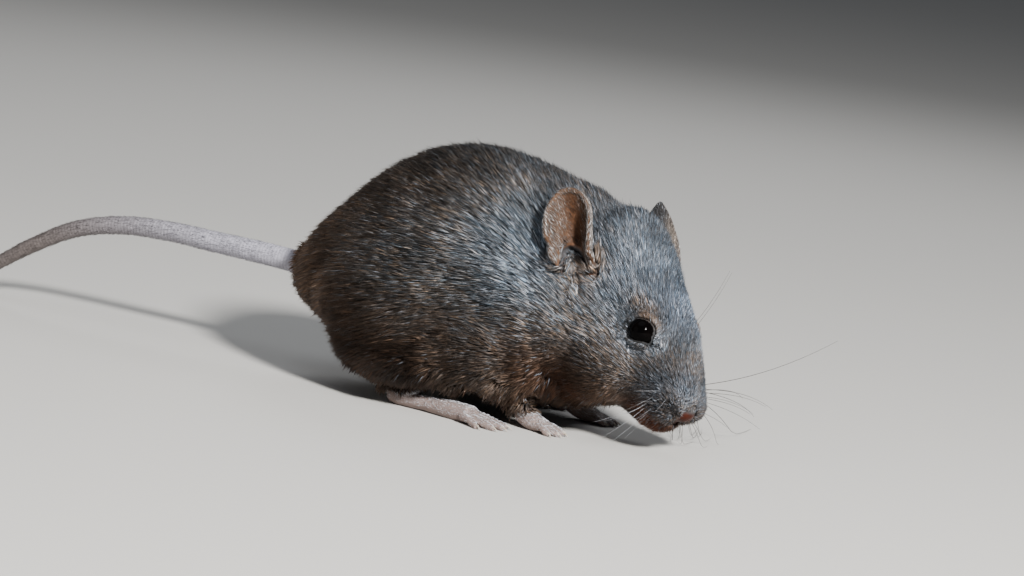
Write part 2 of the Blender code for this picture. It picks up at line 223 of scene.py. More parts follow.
def makeCamera():
    look = cameraSetup
    azimuth, roll = math.radians(look["azimuth"]), math.radians(look["roll"])
    back = wayFrom(look["azimuth"], look["elevation"])
    level = Vector((math.cos(azimuth), math.sin(azimuth), 0))
    upright = back.cross(level)
    right = level * math.cos(roll) + upright * math.sin(roll)
    up = upright * math.cos(roll) - level * math.sin(roll)
    anchor = Vector(eyeAt["right"]) + Vector(look["fromEye"])
    place = anchor + back * look["distance"] + right * look["right"] + up * look["up"]
    data = bpy.data.cameras.new("camera")
    data.lens = look["lens"]
    data.sensor_width = look["sensor"]
    data.clip_start = look["nearest"] * mm
    camera = addObject("camera", data)
    matrix = Matrix((right, up, back)).transposed().to_4x4()
    matrix.translation = place * mm
    camera.matrix_world = matrix
    bpy.context.scene.camera = camera


lightSetup = {  # from: azimuth and elevation
    "key": {"from": (50, 31), "distance": 520, "size": 80, "watts": 9.0, "colour": (1.0, 0.99, 0.97)},
    "sky": {"from": (-20, 72), "distance": 600, "size": 520, "watts": 0.75, "colour": (0.88, 0.94, 1.0)},
    "fill": {"from": (-35, 14), "distance": 600, "size": 420, "watts": 0.3, "colour": (1.0, 0.95, 0.9)},
    "rim": {"from": (200, 40), "distance": 520, "size": 240, "watts": 0.7, "colour": (0.95, 0.97, 1.0)},
}
studioSetup = {
    "air": (0.8, 0.86, 0.95), "airStrength": 0.12,
    "floor": (0.5, 0.485, 0.46), "floorRoughness": 0.8, "floorMetres": 6,
}


def makeLights():
    target = Vector(boxCentre("neck"))
    for name, look in lightSetup.items():
        way = wayFrom(*look["from"])
        data = bpy.data.lights.new(name, "AREA")
        data.shape = "DISK"
        data.size = look["size"] * mm
        data.energy = look["watts"]
        data.color = look["colour"]
        light = addObject(name, data)
        light.location = (target + way * look["distance"]) * mm
        light.rotation_euler = way.to_track_quat("Z", "Y").to_euler()
    world = bpy.data.worlds.new("studio")
    world.use_nodes = True
    background = world.node_tree.nodes["Background"]
    background.inputs["Color"].default_value = (*studioSetup["air"], 1)
    background.inputs["Strength"].default_value = studioSetup["airStrength"]
    bpy.context.scene.world = world


def makeFloor():
    deselectAll()
    bpy.ops.mesh.primitive_plane_add(size=studioSetup["floorMetres"], location=(0, 0, 0))
    floor = bpy.context.object
    floor.name = "floor"
    material = bpy.data.materials.new("paleFloor")
    material.use_nodes = True
    surface = material.node_tree.nodes["Principled BSDF"]
    surface.inputs["Base Color"].default_value = (*studioSetup["floor"], 1)
    surface.inputs["Roughness"].default_value = studioSetup["floorRoughness"]
    floor.data.materials.append(material)


makeCamera()
makeLights()
makeFloor()
print("camera, floor and lights")


# the skin: the flesh in one piece, without its coat

earShape = {  # heights up the ear run from 0 at its root to 1 at its tip
    "length": {"right": 11.0, "left": 12.0}, "halfWidth": {"right": 3.9, "left": 5.1}, "thick": 0.46,
    "root": (17.5, 8.4, 3.8), "curl": (1.35, 4.0), "curlPower": 0.8, "bow": (0.6, 1.8),
    "outline": (0.62, 0.95, -0.6),
    "rounding": {"right": (0.38, 2.2, 0.5), "left": (0.12, 1.35, 0.95)},
    "lean": {"right": (6.2, 2.3, 7.3), "left": (7.4, 4.6, 5.5)},
    "opens": {"right": (-0.35, 0.9, 0.1), "left": (-0.1, 1.0, -0.3)},
    "start": -0.16, "end": 0.992, "rows": 60, "columns": 56,
    "groove": (0.16, 0.5, 0.6), "grooveRise": (-0.1, 0.25), "grooveFall": (0.6, 0.95),
    "frontCut": {"right": 0.35, "left": 0.08}, "frontCutRise": (0.42, 0.0),
    "frontRoll": 0.25, "frontRollAcross": (0.62, 1.0), "frontRollRise": (0.02, 0.2),
    "frontRollFall": (0.6, 0.85), "frontRollBack": 1.1,
    "rimRoll": 0.35, "rimRollAcross": (0.8, 1.0), "rimRollRise": (0.15, 0.4),
    "foot": (0.4, 0.05), "footShift": 1.1, "frontSink": 2.0, "frontSinkAcross": (0.2, 0.8),
    "folds": (  # the flap before the canal and the ridges behind it: their ends, width and height
        ((-0.5, 4.9), (1.7, 2.1), 0.4, 0.7),
        ((-1.7, 9.0), (-1.5, 3.6), 0.75, 0.5),
        ((-2.6, 4.2), (-0.6, 1.2), 0.6, 0.6),
    ),
    "notch": (0.44, 0.06, 0.13),  # where the rear edge folds in
    "hollow": ((1.4, 0.0, -0.4), (2.8, 1.3, 1.8)), "hollowDepth": 1.3,  # up the ear, to its front, out of it
}
tailShape = {
    "path": (  # from inside the rump to the tip, in the part's own measures
        (-45.5, 0.0, 12.5), (-48.8, 0.0, 12.7), (-53.5, 0.0, 12.9), (-60.0, 0.1, 13.0), (-67.0, 0.2, 13.1),
        (-74.0, 0.2, 12.6), (-80.5, 0.0, 10.9), (-87.0, 0.2, 7.5), (-93.0, 1.0, 3.8), (-98.5, 2.8, 1.6),
        (-104.0, 5.8, 0.7), (-109.2, 9.6, 0.42),
    ),
    "radius": (1.42, 0.42), "taper": 1.6, "rings": 0.46, "steps": 8, "roundness": 6,
}
ownNoseTip = np.array((6.75, -3.88, 5.1))  # the part's own measures start at another point
shift = noseTip - ownNoseTip
tailRoot = np.array(tailShape["path"][1]) + shift

legs = ("hindleg", "foreleg")
feet = ("hindfoot", "forefoot")
fleshNodes = ["trunk", "neck", "head", "nose"] + [f"{part}_{side}" for part in legs + feet for side in sides]
tailNodes = ["tail_base", "tail_middle", "tail_tip"]
earNodes = ["ear_right", "ear_left"]
skinShape = {
    "spread": 0.22, "voxel": 0.2, "triangles": 180000, "mergeWithin": 0.01,
    "coarseLeast": 0.02, "coarseFactor": 4.0,  # how much more the body is thinned than the rest
    "eyeFill": 1.85, "smoothing": 26, "fineSmoothing": 3, "smoothShare": 0.5,
    "eyeKept": 2.6, "noseKept": 4.5, "noseKeptShare": 0.75,
    "flankAt": (22, 0, 10), "flankRadii": (17, 20, 7), "flankSmoothing": 130,
    "flankFold": ((28.0, 9.2, 8.8), (9.4, 4.6, 5.6)),  # loose skin between the haunch and the elbow
    "ankle": (-0.8, 0.0, 0.8, 1.4), "ankleShare": 0.44, "ankleTop": 0.3, "ankleRoundness": 4,
    "ballSides": (32, 20),  # round it, and from end to end
}
softening = {  # rounds of averaging over each point's neighbours
    "broad": 6, "depth": 24, "bare": 2, "hollow": 3, "coarse": 3, "flow": 8,
    "ear": 2, "foot": 4, "tail": 3, "length": 8, "density": 3, "width": 8,
}


def copyOfNode(name, spread):
    # a merged copy, grown so that the thin cuts between the pieces close
    obj = addObject("flesh_" + name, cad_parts[name].data.copy())
    obj.data.materials.clear()
    inEditMode(obj, bpy.ops.mesh.remove_doubles, threshold=skinShape["mergeWithin"] * mm)
    writePoints(obj.data, readPoints(obj.data) + readNormals(obj.data) * spread)
    return obj


def earFrame(side):
    across = sides[side]
    back, out, up = earShape["lean"][side]
    opens = earShape["opens"][side]
    axis = unit(headDirection(back, out * across, up))
    facing = headDirection(opens[0], opens[1] * across, opens[2])
    facing = unit(facing - axis * (facing @ axis))
    sideways = np.cross(axis, facing) * across
    root = headPoint(earShape["root"][0], earShape["root"][1] * across, earShape["root"][2])
    return root, axis, facing, sideways


def earCurl(height):
    low, high = earShape["curl"]
    return low + (high - low) * np.maximum(height, 0) ** earShape["curlPower"]


def earHalfTurn(height, side):
    least, rise, fall = earShape["outline"]
    begin, power, point = earShape["rounding"][side]
    rounding = np.maximum(0, 1 - np.maximum(0, (height - begin) / (1 - begin)) ** power) ** point
    wide = earShape["halfWidth"][side] * (least + rise * height + fall * height**2)
    return wide * rounding / earCurl(height)


def earBow(height):
    # how far the middle of the cup lies before its straight axis
    low, rise = earShape["bow"]
    return earShape["curl"][0] * low + rise * np.clip(height, 0, 1) ** 2


def earForward(side):
    # which way round the cup its front edge is
    return 1 if earFrame(side)[3] @ headDirection(-1, 0, 0) > 0 else -1


def earLocal(points, side):
    # points as up the ear, towards its front edge, and out of its cup
    root, axis, facing, sideways = earFrame(side)
    offset = points - root
    up = offset @ axis
    out = offset @ facing - earBow(up / earShape["length"][side])
    return np.stack((up, offset @ sideways * earForward(side), out), 1)


def earHollow(points, side):
    place, radii = (np.array(value) for value in earShape["hollow"])
    return np.exp(-(((earLocal(points, side) - place) / radii) ** 2).sum(1) ** 1.5)


def earOutline(height, share, side):
    # the share across the ear, with its front cut low down and its rear edge notched
    inFront = share * earForward(side) > 0
    cut = earShape["frontCut"][side] * smoothStep(*earShape["frontCutRise"], height)
    share = np.where(inFront, share * (1 - cut), share)
    place, wide, deep = earShape["notch"]
    return np.where(inFront, share, share * (1 - deep * hump(height - place, wide)))


def earFolds(front, up):
    # the flap and the ridges, as lines on the flat sheet
    flat = np.stack((front, up), 1)
    fold = np.zeros(len(flat))
    for first, last, wide, deep in earShape["folds"]:
        first, along = np.array(first), np.array(last) - np.array(first)
        part = np.clip(((flat - first) @ along) / (along @ along), 0, 1)
        fold += deep * hump(np.linalg.norm(flat - first - np.outer(part, along), axis=1), wide)
    return fold


def earRelief(height, share, turn, side):
    # the front edge's roll, and how far out of the cup each place stands, with its curl and folds
    forward = earForward(side)
    curl = earCurl(height)
    place, wide, deep = earShape["groove"]
    front = turn * forward
    groove = deep * hump(front - place, wide)
    groove *= smoothStep(*earShape["grooveRise"], height)
    groove *= 1 - smoothStep(*earShape["grooveFall"], height)
    roll = earShape["frontRoll"] * smoothStep(*earShape["frontRollAcross"], share * forward)
    roll *= smoothStep(*earShape["frontRollRise"], height)
    roll *= 1 - smoothStep(*earShape["frontRollFall"], height)
    rim = earShape["rimRoll"] * smoothStep(*earShape["rimRollAcross"], np.abs(share))
    rim *= smoothStep(*earShape["rimRollRise"], height)
    fold = earFolds(curl * front, height * earShape["length"][side])
    return roll, roll + rim + fold - curl * np.cos(turn) - groove


def makeEar(side):
    root, axis, facing, sideways = earFrame(side)
    forward = earForward(side)
    deselectAll()
    rows, columns = earShape["rows"], earShape["columns"]
    bpy.ops.mesh.primitive_grid_add(x_subdivisions=columns, y_subdivisions=rows, size=2)
    ear = bpy.context.object
    ear.name = "ear_sheet_" + side
    flat = readPoints(ear.data) * mm
    start = earShape["start"]
    height = start + (1 - start) * np.sin(math.pi / 2 * (flat[:, 1] + 1) / 2 * earShape["end"])
    share = earOutline(height, flat[:, 0], side)
    turn = earHalfTurn(height, side) * share
    roll, relief = earRelief(height, share, turn, side)
    points = root + np.outer(height * earShape["length"][side], axis) + np.outer(earBow(height), facing)
    points += np.outer(earCurl(height) * np.sin(turn), sideways)
    points += np.outer(relief, facing)
    points -= np.outer(roll * earShape["frontRollBack"] * forward, sideways)
    low = smoothStep(*earShape["foot"], height)
    points += np.outer(low * earShape["footShift"] * forward, sideways)
    sink = earShape["frontSink"] * smoothStep(*earShape["frontSinkAcross"], share * forward)
    points -= np.outer(low * sink, facing)
    writePoints(ear.data, points)
    applyModifier(ear, "SOLIDIFY", thickness=earShape["thick"] * mm, offset=0)
    return ear


def smoothPath(points, steps):
    # a Catmull-Rom curve through the points
    points = np.array(points, float)
    ends = np.vstack((2 * points[0] - points[1], points, 2 * points[-1] - points[-2]))
    made = []
    for a, b, c, d in zip(ends, ends[1:], ends[2:], ends[3:]):
        slope, bend, twist = c - a, 2 * a - 5 * b + 4 * c - d, 3 * b - a - 3 * c + d
        for t in np.arange(steps) / steps:
            made.append(0.5 * (2 * b + slope * t + bend * t**2 + twist * t**3))
    return np.array([*made, points[-1]])


def makeTubes(name, strands, roundness):
    # tubes along paths, each a list of points and a list of radii, made as a bevelled curve
    curve = bpy.data.curves.new(name, "CURVE")
    curve.dimensions = "3D"
    curve.bevel_depth = mm
    curve.bevel_resolution = roundness
    curve.use_fill_caps = True
    for points, radii in strands:
        spline = curve.splines.new("POLY")
        spline.points.add(len(points) - 1)
        for place, point, radius in zip(spline.points, points, radii):
            place.co = (*(point * mm), 1)
            place.radius = radius
    pick(addObject(name, curve))
    bpy.ops.object.convert(target="MESH")
    return bpy.context.object


tailPath = smoothPath(np.array(tailShape["path"]) + shift, tailShape["steps"])
tailWays = unit(np.gradient(tailPath, axis=0))


def makeTail():
    thick, thin = tailShape["radius"]
    share = np.linspace(0, 1, len(tailPath)) ** tailShape["taper"]
    return makeTubes("tail_tube", [(tailPath, thick + (thin - thick) * share)], tailShape["roundness"])


def makeAnkle(foot):
    # a short plug through the cut between the foot and its leg
    points = np.array([vertex.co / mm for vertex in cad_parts[foot].data.vertices])
    top = points[points[:, 2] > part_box(foot)[1].z / mm - skinShape["ankleTop"]]
    middle = top.mean(0)
    radius = (top.max(0) - top.min(0))[:2].min() * skinShape["ankleShare"]
    path = [middle + np.array((0, 0, height)) for height in skinShape["ankle"]]
    return makeTubes("ankle_" + foot, [(path, [radius] * len(path))], skinShape["ankleRoundness"])


def makeBall(place, radius, scale=(1, 1, 1)):
    deselectAll()
    around, down = skinShape["ballSides"]
    bpy.ops.mesh.primitive_uv_sphere_add(segments=around, ring_count=down, radius=radius * mm)
    ball = bpy.context.object
    ball.location = place * mm
    ball.scale = scale
    return settle(ball)


def makeSkin():
    pieces = [copyOfNode(name, 0 if "foot" in name else skinShape["spread"]) for name in fleshNodes]
    pieces += [makeAnkle(name) for name in fleshNodes if "foot" in name]
    for side, across in sides.items():
        pieces.append(makeBall(eyeAt[side], skinShape["eyeFill"]))
        place, radii = skinShape["flankFold"]
        pieces.append(makeBall(np.array(place) * (1, across, 1), 1, radii))
        pieces.append(makeEar(side))
    pieces.append(makeTail())
    skin = joined("skin", pieces)
    applyModifier(skin, "REMESH", mode="VOXEL", voxel_size=skinShape["voxel"] * mm, use_smooth_shade=True)
    print("skin remeshed:", len(skin.data.polygons), "quads")
    return skin


def regionOf(points):
    # which CAD node each point is nearest to
    names = fleshNodes + tailNodes + earNodes
    corners, faces, owner = [], [], []
    for index, name in enumerate(names):
        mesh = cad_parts[name].data
        first = len(corners)
        corners += [vertex.co / mm for vertex in mesh.vertices]
        faces += [[first + corner for corner in polygon.vertices] for polygon in mesh.polygons]
        owner += [index] * len(mesh.polygons)
    tree = BVHTree.FromPolygons(corners, faces)
    found = [tree.find_nearest(point)[2] for point in points.tolist()]
    owner = np.array(owner)[found]
    return {name: (owner == index).astype(float) for index, name in enumerate(names)}


def sumOf(regions, *starts):
    return sum(mask for name, mask in regions.items() if name.startswith(starts))


legParting = {"height": (7, 3.8), "tailRoot": (2.4, 1.6)}


def partLegs(regions, points):
    # the haunches and shoulders wear the trunk's coat, and only the lower legs their own
    low = smoothStep(*legParting["height"], points[:, 2])
    for name in list(regions):
        if name.startswith(("hindleg", "foreleg")):
            regions["trunk"] = regions["trunk"] + regions[name] * (1 - low)
            regions[name] = regions[name] * low
    begin, end = legParting["tailRoot"]
    stump = regions["trunk"] * smoothStep(tailRoot[0] + begin, tailRoot[0] + end, points[:, 0])
    regions["trunk"] = regions["trunk"] - stump
    regions["tail_base"] = regions["tail_base"] + stump
    return regions


def setWeights(obj, name, weights):
    group = obj.vertex_groups.get(name) or obj.vertex_groups.new(name=name)
    levels = 20
    for level in range(1, levels + 1):
        members = np.nonzero(np.round(weights * levels) == level)[0]
        if len(members):
            group.add(members.tolist(), level / levels, "REPLACE")
    return name


def smoothSkin(skin, regions, edges):
    # the flesh flows over its joins, while the ears, feet, nose, tail and eyes keep their shapes
    points = readPoints(skin.data)
    fine = sumOf(regions, "ear", "tail", "nose", *feet)
    nearEye = sum(np.exp(-((far(points, eyeAt[side]) / skinShape["eyeKept"]) ** 4)) for side in sides)
    broad = blur(np.clip(1 - fine - nearEye, 0, 1), edges, softening["broad"])
    broad *= 1 - skinShape["noseKeptShare"] * hump(far(points, noseTip), skinShape["noseKept"])
    smoothing = {"kind": "SMOOTH", "factor": skinShape["smoothShare"]}
    group = setWeights(skin, "broad", broad)
    applyModifier(skin, **smoothing, iterations=skinShape["smoothing"], vertex_group=group)
    applyModifier(skin, **smoothing, iterations=skinShape["fineSmoothing"])
    offset = (points - np.array(skinShape["flankAt"])) / np.array(skinShape["flankRadii"])
    group = setWeights(skin, "flank", broad * np.exp(-(offset**2).sum(1) ** 2))
    applyModifier(skin, **smoothing, iterations=skinShape["flankSmoothing"], vertex_group=group)
    print("skin smoothed")


# the coat's depth, by place

coatDepth = {
    "trunk": 1.5, "neck": 1.4, "leg": 0.6, "throat": ((10.5, 0, -6.2), (4.4, 4.2, 3.0)), "throatFill": 1.3,
    "lip": ((0.4, 0, -2.1), (1.3, 1.8, 1.1)), "lipFill": 0.4, "tailRoot": (0, 6), "tailRootShare": 0.2,
    "headBack": (0, 2, 6, 12, 20, 24), "head": (0.12, 0.3, 0.5, 0.7, 1.0, 1.3),
}


def patchWeight(places, place, radii):
    # a soft patch on both sides of the middle
    weight = np.zeros(len(places))
    for across in sides.values():
        offset = (places - np.array(place) * (1, across, 1)) / np.array(radii)
        weight = np.maximum(weight, np.exp(-(offset**2).sum(1)))
    return weight


def depthOf(points, regions, edges):
    onHead = np.interp(inHead(points)[:, 0], coatDepth["headBack"], coatDepth["head"])
    depth = (
        sumOf(regions, "trunk") * coatDepth["trunk"]
        + sumOf(regions, "neck") * coatDepth["neck"]
        + sumOf(regions, *legs) * coatDepth["leg"]
        + sumOf(regions, "head") * onHead
    )
    depth = blur(depth, edges, softening["depth"])
    least = coatDepth["tailRootShare"]
    depth *= least + (1 - least) * smoothStep(*coatDepth["tailRoot"], far(points, tailRoot))
    return depth * (1 - blur(sumOf(regions, "ear", "tail", "nose", *feet), edges, softening["bare"]))


def sinkSkin(skin, regions, edges):
    # draws the skin in by the coat's depth, and hollows the foot of each ear
    points = readPoints(skin.data)
    unspread = blur(sumOf(regions, "ear", "tail", *feet), edges, softening["bare"])
    inward = depthOf(points, regions, edges) + skinShape["spread"] * (1 - unspread)
    for name in ("throat", "lip"):
        inward -= coatDepth[name + "Fill"] * patchWeight(inHead(points), *coatDepth[name])
    points -= readNormals(skin.data) * inward[:, None]
    for side in sides:
        hollow = earHollow(points, side) * blur(sumOf(regions, "head", "neck"), edges, softening["hollow"])
        points -= earFrame(side)[2] * (earShape["hollowDepth"] * hollow)[:, None]
    writePoints(skin.data, points)


def thinSkin(skin, regions, edges):
    # spends more triangles on the head, ears, feet and tail than on the body
    body = blur(sumOf(regions, "trunk", "neck", *legs), edges, softening["coarse"])
    group = setWeights(skin, "coarse", np.clip(body + skinShape["coarseLeast"], 0, 1))
    ratio = min(1, skinShape["triangles"] / (2 * len(skin.data.polygons)))
    factor = skinShape["coarseFactor"]
    applyModifier(skin, "DECIMATE", ratio=ratio, vertex_group=group, vertex_group_factor=factor)
    skin.vertex_groups.clear()
    print("skin thinned to", len(skin.data.polygons), "faces")


skin = makeSkin()
edges = readEdges(skin.data)
regions = regionOf(readPoints(skin.data))
smoothSkin(skin, regions, edges)
regions = partLegs(regions, readPoints(skin.data))
sinkSkin(skin, regions, edges)
thinSkin(skin, regions, edges)


# lids, nostrils and mouth

eyeShape = {
    "radius": 1.7, "way": (-0.07, 0.95, 0.27), "opening": 54.5, "openingFrom": 47.5, "lid": 65, "cheek": 112,
    "under": -0.35, "rim": 0.05, "reach": 4.5, "longWay": (-1.06, 0.0, 0.75), "oval": 8.5,
    "corner": (-1.0, 0.1, -0.12), "cornerReach": 23, "cornerWidth": 14,
    "bulge": 0.045, "bulgeFrom": 0.35,  # the cornea stands out a little
    "sides": (64, 40),  # round the eyeball, and from end to end
}


def onSide(direction, across):
    # a direction in the head's frame, for that side of the head
    return headDirection(direction[0], direction[1] * across, direction[2])


def angleBetween(ways, way):
    return np.arccos(np.clip(ways @ way, -1, 1))


def roundEye(flat, axis, way, across):
    # the angle between places round the eye and one of its axes
    axis = onSide(axis, across)
    return angleBetween(flat, unit(axis - way * (axis @ way)))


def lidWidening(offset, way, across):
    # how much wider the lids open along the eye and towards its front corner
    flat = unit(offset - np.outer(offset @ way, way))
    fromCorner = np.degrees(roundEye(flat, eyeShape["corner"], way, across))
    longShare = np.cos(2 * roundEye(flat, eyeShape["longWay"], way, across))
    return eyeShape["cornerReach"] * hump(fromCorner, eyeShape["cornerWidth"]) + eyeShape["oval"] * longShare


def roundSide(points, side):
    # each point's offset and distance from that eye, its angle off the way the eye looks, and the
    # same angle counted from the shape of the lids
    way = unit(onSide(eyeShape["way"], sides[side]))
    offset = points - eyeAt[side]
    angle = np.degrees(angleBetween(unit(offset), way))
    return offset, np.linalg.norm(offset, axis=1), angle, angle - lidWidening(offset, way, sides[side])


def shapeLids(skin):
    points = readPoints(skin.data)
    sunk = eyeShape["radius"] + eyeShape["under"]
    rim = eyeShape["radius"] + eyeShape["rim"]
    for side in sides:
        offset, reach, turned, angle = roundSide(points, side)
        near = (reach < eyeShape["reach"]) & (turned < eyeShape["cheek"])
        target = sunk + (rim - sunk) * smoothStep(eyeShape["openingFrom"], eyeShape["opening"], angle)
        target += (np.maximum(reach, rim) - target) * smoothStep(eyeShape["lid"], eyeShape["cheek"], angle)
        target = np.where(near, target, reach)
        points = eyeAt[side] + offset * (target / np.maximum(reach, 1e-6))[:, None]
    writePoints(skin.data, points)


muzzleShape = {
    "nostril": (0.35, 0.72, 0.05), "nostrilRadius": 0.34, "nostrilDepth": 0.34,
    "philtrumDepth": 0.14, "philtrumWidth": 0.16, "philtrumTop": (0.2, -0.3), "philtrumBack": 2.2,
    "mouthDepth": 0.18, "mouthWidth": 0.2, "mouthUp": -1.5, "mouthDroop": 0.22, "mouthEnds": (4.8, 2.6),
}


def shapeMuzzle(skin):
    look = muzzleShape
    points = readPoints(skin.data)
    local = inHead(points)
    back, aside, up = local[:, 0], np.abs(local[:, 1]), local[:, 2]
    push = np.zeros(len(points))
    for across in sides.values():
        nostril = np.array(look["nostril"]) * (1, across, 1)
        push += look["nostrilDepth"] * hump(far(local, nostril), look["nostrilRadius"])
    philtrum = hump(aside, look["philtrumWidth"]) * smoothStep(*look["philtrumTop"], up)
    push += look["philtrumDepth"] * philtrum * (back < look["philtrumBack"])
    lipLine = look["mouthUp"] - look["mouthDroop"] * aside  # lower at the mouth's corners
    mouth = hump(up - lipLine, look["mouthWidth"])
    mouth = mouth * (back < look["mouthEnds"][0]) * (aside < look["mouthEnds"][1])
    push += look["mouthDepth"] * mouth
    writePoints(skin.data, points - readNormals(skin.data) * push[:, None])


def liftOverFloor(skin):
    points = readPoints(skin.data)
    points[:, 2] = np.maximum(points[:, 2], 0.0)
    writePoints(skin.data, points)


shapeLids(skin)
shapeMuzzle(skin)
applyModifier(skin, "TRIANGULATE")
liftOverFloor(skin)
smoothShade(skin)
print("lids and muzzle shaped")


# fields on the skin that the fur and the colours follow

coatLook = {
    "trunk": {"length": 3.1, "density": 92, "width": 0.045},
    "neck": {"length": 2.4, "density": 104, "width": 0.042},
    "leg": {"length": 1.7, "density": 62, "width": 0.048},
    "foot": {"length": 0.5, "density": 30, "width": 0.03},
    "ear": {"length": 0.8, "density": 42, "width": 0.021},
    "tail": {"length": 0.6, "density": 14, "width": 0.03},
    "headBack": (0, 2, 4, 7, 10, 14, 19, 24),
    "headLength": (0.65, 1.15, 1.3, 1.5, 1.65, 1.9, 2.3, 2.8),
    "headDensity": (150, 142, 126, 114, 106, 102, 100, 100),
    "headWidth": (0.036, 0.037, 0.038, 0.039, 0.04, 0.041, 0.042, 0.042),
}
coatPlaces = {  # where the coat changes; distances and heights run from the first value to the second
    "bareLids": (58.5, 55.5), "lidSkin": (62, 57), "lidReach": 2.6,
    "eyeShort": (1.8, 3.8), "eyeShortLength": 0.45, "eyeCrowd": (3.0, 2.0), "eyeCrowding": 0.9,
    "eyeTurn": (4.2, 2.0), "eyeTurning": 0.9, "clearLids": (2.7, 55.5),
    "tailShort": (0.8, 6.5), "tailShortLength": 0.25, "tailTurn": (5.5, 1.5),
    "nosePad": (1.7, 1.3), "nosePadTop": (1.3, 0.85), "nosePadDrop": 0.5,
    "sole": (0.1, -0.3), "throat": ((11, 1, -6.5), (5, 4, 3.0)), "throatLength": 0.9,
    "earFoot": ((17.4, 8.2, 4.7), (2.6, 2.2, 2.0)), "earFootShort": 0.3, "hollowBare": 0.92,
    "bowlUp": (2.2, 3.2), "bowlTop": (7.5, 6.5), "bowlAcross": (3.1, 2.5), "bowlMiddle": 0.2,
    "bowlOut": (2.2, 1.5), "bowlShort": 0.6, "bowlBare": 0.97, "bowlClear": 0.4,
    "guideSpread": 1.6, "headFlowEnd": (24, 16), "headTintEnd": (26, 18),
    "legWay": (-0.25, 0, -0.95), "footWay": (0.95, 0, -0.2), "earFan": (1.4, 3.0, -1, 0.4),
}
bodyFlow = (  # place, way and reach, for the left side; the right side is its mirror image
    ((44, 6, 20), (-0.6, 0.1, 0.75), 5), ((38, 5, 26), (-0.68, 0.05, 0.7), 4.5),
    ((30, 5, 30), (-0.97, 0, 0.17), 7), ((20, 5, 31), (-1, 0, 0.0), 8), ((10, 5, 28), (-0.86, 0, -0.5), 8),
    ((4, 4, 22), (-0.45, 0, -0.9), 6), ((2, 4, 15), (-0.35, 0, -0.94), 5),
    ((40, 10, 16), (-0.95, 0.1, 0.2), 6), ((37.5, 9, 23), (-0.6, 0, 0.8), 4),
    ((31, 11, 20), (-1, 0, 0.08), 6), ((22, 12, 21), (-1, 0, 0.03), 8), ((12, 12, 19), (-0.99, 0, 0.0), 7),
    ((6, 10, 14), (-0.8, 0, -0.6), 7), ((35, 11, 12), (-0.97, 0, -0.25), 6),
    ((25, 12, 12), (-0.87, 0, -0.5), 7), ((14, 12, 10), (-0.88, 0, -0.5), 7),
    ((26, 9, 5), (-0.9, 0.1, -0.3), 6), ((36, 7, 6), (-0.92, 0.2, -0.25), 6),
    ((20, 0, 2), (-1, 0, 0), 8), ((34, 0, 3), (-1, 0, 0), 7),
    ((44, 3, 6), (-0.85, 0.1, 0.1), 6), ((8, 6, 6), (-0.8, 0.1, -0.5), 6),
)
headFlow = (  # the same in the head's frame: back, across, up
    ((0.2, 0.5, -1.8), (0.1, 0.3, -1), 1.1), ((0, 0.6, 1.6), (0.3, 0.4, 0.9), 1.6),
    ((1.5, 1.6, 2.6), (0.75, 0.5, 0.6), 2.4), ((2.0, 3.0, 0.2), (0.85, 0.8, 0.1), 2.4),
    ((2.0, 2.4, -1.6), (0.8, 0.5, -0.8), 2.2), ((4, 1.5, 5.6), (1, 0.1, 0.55), 4),
    ((8, 2, 8), (1, 0.12, 0.5), 4),
    ((13, 3, 10.6), (1, 0.1, 0.4), 5), ((18, 3, 12), (1, 0.06, 0.1), 5), ((6, 5, 1), (1, 0.3, 0.05), 3.5),
    ((11, 6.5, 1.5), (1, 0.15, 0.12), 4), ((15, 7.6, 3.2), (0.95, 0.1, 0.35), 4),
    ((16.4, 8.0, 4.6), (1, 0.05, 0.35), 1.6), ((12, 6, -3.5), (1, 0.1, -0.3), 4.5),
    ((18, 8, -2), (1, 0.1, -0.1), 5), ((6, 2, -4.5), (1, 0.3, -0.6), 4), ((13, 3, -7), (0.85, 0.1, -0.75), 5),
    ((21, 6, 8), (1, 0.1, 0.1), 5), ((22, 6, -4), (1, 0.1, 0.0), 5),
)


def guided(places, guides):
    total = np.zeros((len(places), 3))
    for across in sides.values():
        mirror = np.array((1, across, 1))
        for place, way, reach in guides:
            distance = ((places - np.array(place) * mirror) ** 2).sum(1)
            weight = np.exp(-distance / (coatPlaces["guideSpread"] * reach**2)) + 1e-7
            total += weight[:, None] * unit(np.array(way, float) * mirror)
    return unit(total)


def nearestOn(path, points):
    nearest = np.zeros(len(points), int)
    best = np.full(len(points), 1e9)
    for index, place in enumerate(path):
        distance = ((points - place) ** 2).sum(1)
        closer = distance < best
        nearest[closer], best[closer] = index, distance[closer]
    return nearest


def alongSurface(ways, normals):
    return unit(ways - normals * (ways * normals).sum(1)[:, None])


def flowOf(points, regions):
    # the lie of the coat, from the nose to the tail
    local = inHead(points)
    headWay = guided(local, headFlow)
    headWay[:, 0] *= -1
    onHead = smoothStep(*coatPlaces["headFlowEnd"], local[:, 0])[:, None]
    flow = unit(headWay @ headTurn.T * onHead + guided(points, bodyFlow) * (1 - onHead))
    flow = mixed(flow, np.array(coatPlaces["legWay"]), sumOf(regions, *legs)[:, None])
    flow = mixed(flow, np.array(coatPlaces["footWay"]), sumOf(regions, *feet)[:, None])
    flow = mixed(flow, tailWays[nearestOn(tailPath, points)], sumOf(regions, "tail")[:, None])
    rump = smoothStep(*coatPlaces["tailTurn"], far(points, tailRoot))[:, None]
    flow = mixed(flow, tailWays[0], rump)
    middle, spread, least, most = coatPlaces["earFan"]
    for side in sides:
        axis, sideways = earFrame(side)[1::2]
        aside = np.clip((earLocal(points, side)[:, 1] - middle) / spread, least, most) * earForward(side)
        flow = mixed(flow, unit(axis + np.outer(aside, sideways)), regions["ear_" + side][:, None])
    return flow


